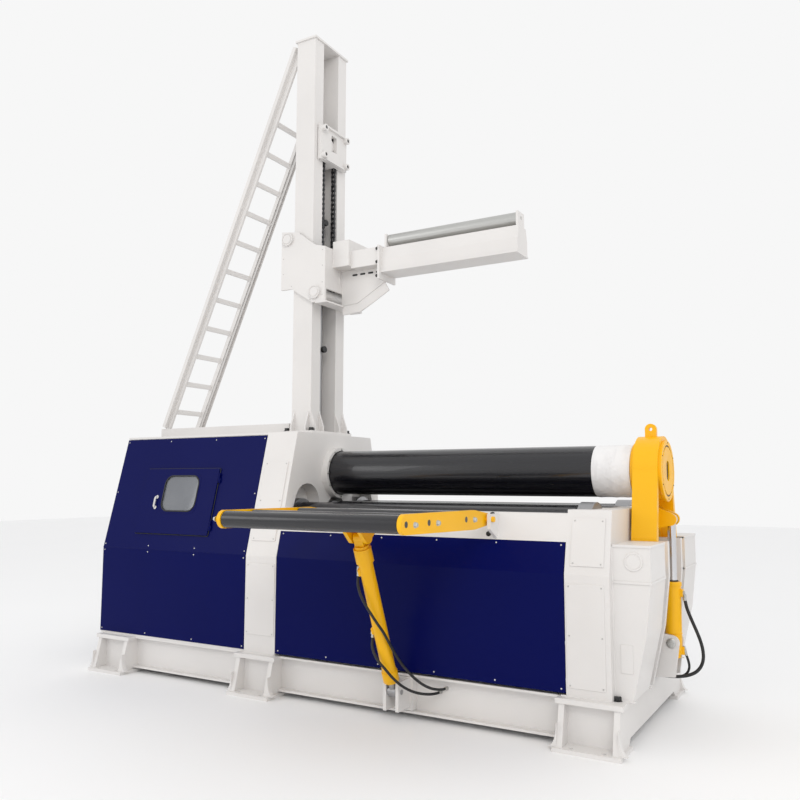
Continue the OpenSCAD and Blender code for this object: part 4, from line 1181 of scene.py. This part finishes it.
# ---------------------------------------------------------------- wrapped roll end
class ROLLS_OT_wrapped_end(bpy.types.Operator):
    """Wraps the top roll's drop end in white packing film, with slantwise folds"""

    bl_idname = "rolls.wrapped_end"
    bl_label = "Wrapped roll end"

    def execute(self, context):
        low, high = low_high("roll_sleeve")
        y, z = ((low + high) / 2)[1:]
        sleeve_r = (high[2] - low[2]) / 2
        sides = 160
        x = np.linspace(low[0] + 0.001, high[0] + 0.020, 46)[:, None]
        t = np.linspace(0, 2 * np.pi, sides, endpoint=False)[None, :]
        # Folds run slantwise round the roll: sums of sines of angle and length with drifting phase.
        fold = (np.sin(9 * t + 60 * x + 2.0 * np.sin(3 * t))
                + 0.7 * np.sin(23 * t - 90 * x + 1.5 * np.sin(5 * t))
                + 0.5 * np.sin(41 * t + 140 * x + np.sin(7 * t + 30 * x)))
        crest = np.clip(fold, 0, None) ** 1.5
        swell = np.clip(np.minimum(x - low[0], high[0] - x) / 0.02, 0, 1)
        radius = sleeve_r - 0.0006 + 0.0009 * crest * (0.25 + 0.75 * swell)
        outer = points_at(x, y + radius * np.sin(t), z + radius * np.cos(t))
        inner = sleeve_r - 0.008
        rim = points_at(x, y + inner * np.sin(t), z + inner * np.cos(t))
        # Past its far edge the film closes in over the neck, in two steps.
        neck = np.concatenate([rim[-1:] * (1, share, share) + (0.006, 0, (1 - share) * z)
                               for share in (0.97, 0.60)])
        points = np.concatenate([rim[:1], outer, neck])
        film = (points.reshape(-1, 3), grid_faces(len(points), sides))
        piece = add_piece("roll_wrap", [film], "shrink_wrap", "top_roll", smooth=1.0)
        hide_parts("roll_sleeve")
        return {"FINISHED"}


# ---------------------------------------------------------------- welds and wipers
RIPPLE_L = 0.007


def bead(start, end, r, normal):
    """Fillet weld from start to end: a round tube whose radius ripples with the sine of length."""
    start, end = np.array(start, float), np.array(end, float)
    run = np.linalg.norm(end - start)
    s = np.linspace(0, 1, max(8, int(run / RIPPLE_L)))[:, None]
    radius = r * (1 + 0.13 * np.sin(s * run / RIPPLE_L * np.pi))
    outline = ring(1.0, 8)[None] * radius[:, None, :]
    return swept(start + s * (end - start), outline, normal)


class ROLLS_OT_welds(bpy.types.Operator):
    """Runs weld beads along the mast's gussets, the hinge ears, the frames' feet and the arm"""

    bl_idname = "rolls.welds"
    bl_label = "Weld beads"

    def execute(self, context):
        rows = []
        foot, r = MAST_FOOT_Z, 0.006
        for s in (-1, 1):
            for y in (s * 0.265, s * 0.125):
                rows.append(((0.055, y, foot), (0.107, y, foot), r, (0, s, 1)))
                rows.append(((0.055, y, foot), (0.055, y, foot + GUSSET_H), r, (1, s, 0)))
            for x in (-0.145, 0.019):
                rows.append(((x, s * 0.265, foot), (x, s * 0.317, foot), r, (1, 0, 1)))
                rows.append(((x, s * 0.265, foot), (x, s * 0.265, foot + GUSSET_H), r, (1, s, 0)))
            rows.append(((-0.165, s * 0.266, foot + 0.002), (0.055, s * 0.266, foot + 0.002), r, (0, s, 1)))
            for y in (s * EAR_IN, s * EAR_HIGH[1]):
                rows.append(((2.9755, y, 0.34), (2.9755, y, 1.33), 0.007, (1, s, 0)))
                rows.append(((2.98, y, 0.3275), (3.112, y, 0.3275), 0.007, (0, s, 1)))
            y, z = s * (FRAME_HALF + 0.001), BASE_TOP + 0.002
            for x0, x1 in ((-0.153, 0.153), (2.63, 2.97)):
                rows.append(((x0, y, z), (x1, y, z), 0.007, (0, s, 1)))
        add_piece("weld_beads", [bead(*row) for row in rows], "frame_white", "machine", smooth=1.2)
        rows = [((x, s * y, z0), (x, s * y, z1), r, (1, s, 0))
                for x, y, z0, z1 in ((0.22, 0.061, 3.64, 3.77), (ARM_FLANGE_X, 0.141, 3.776, 3.94))
                for s in (-1, 1)]
        add_piece("arm_welds", [bead(*row) for row in rows], "frame_white", "carriage", smooth=1.2)
        return {"FINISHED"}


def wiper(r0, r1, h=0.010):
    """Wiper ring from radius r0 to r1: a profile with its lip halfway, turned about the rod."""
    return turned([(r0, 0), (r1, 0), (r1, 0.6 * h), (0.5 * (r0 + r1), h), (r0, 0.8 * h), (r0, 0)], 32)


class ROLLS_OT_seals(bpy.types.Operator):
    """Adds the wiper rings where the rods leave the two cylinders' barrels"""

    bl_idname = "rolls.seals"
    bl_label = "Rod and roll seals"

    def execute(self, context):
        place = DROP_FOOT + (DROP_TUBE_L + 0.0235) * DROP_ALONG
        drop = set_at(wiper(0.0306, 0.041), place, DROP_ALONG)
        add_piece("drop_wiper", [drop], "gasket_rubber", "drop_barrel")
        place = TABLE_FOOT + 0.0895 * TABLE_ALONG
        table = set_at(wiper(0.0306, 0.044), place, -TABLE_ALONG)
        add_piece("table_wiper", [table], "gasket_rubber", "table_barrel")
        return {"FINISHED"}


# ---------------------------------------------------------------- panel and run
GROUPS = {"rolls_paint": ROLLS_PG_paint, "rolls_fittings": ROLLS_PG_fittings,
          "rolls_stage": ROLLS_PG_stage}
STEPS = (ROLLS_OT_stage, ROLLS_OT_finishes, ROLLS_OT_hoses, ROLLS_OT_panel_screws, ROLLS_OT_bolts,
         ROLLS_OT_door_fittings, ROLLS_OT_frame_plates, ROLLS_OT_bearing_cover, ROLLS_OT_chain,
         ROLLS_OT_cylinder_trim, ROLLS_OT_door_handle, ROLLS_OT_ladder_trim,
         ROLLS_OT_crosshead_trim, ROLLS_OT_wrapped_end, ROLLS_OT_welds, ROLLS_OT_seals)


class ROLLS_PT_panel(bpy.types.Panel):
    """Sidebar panel with the machine's steps and settings"""

    bl_idname = "ROLLS_PT_panel"
    bl_label = "Plate rolling machine"
    bl_space_type = "VIEW_3D"
    bl_region_type = "UI"
    bl_category = "Rolls"

    def draw(self, context):
        for step in STEPS:
            self.layout.operator(step.bl_idname)
        for group in GROUPS:
            settings = getattr(context.scene, group)
            for key in settings.__annotations__:
                self.layout.prop(settings, key)


CLASSES = (*GROUPS.values(), *STEPS, ROLLS_PT_panel)


def register():
    for cls in CLASSES:
        bpy.utils.register_class(cls)
    for group, cls in GROUPS.items():
        setattr(bpy.types.Scene, group, bpy.props.PointerProperty(type=cls))


def unregister():
    for group in GROUPS:
        delattr(bpy.types.Scene, group)
    for cls in reversed(CLASSES):
        bpy.utils.unregister_class(cls)


def main():
    register()
    for step in STEPS:
        group, name = step.bl_idname.split(".")
        getattr(getattr(bpy.ops, group), name)()


if __name__ == "__main__":
    main()
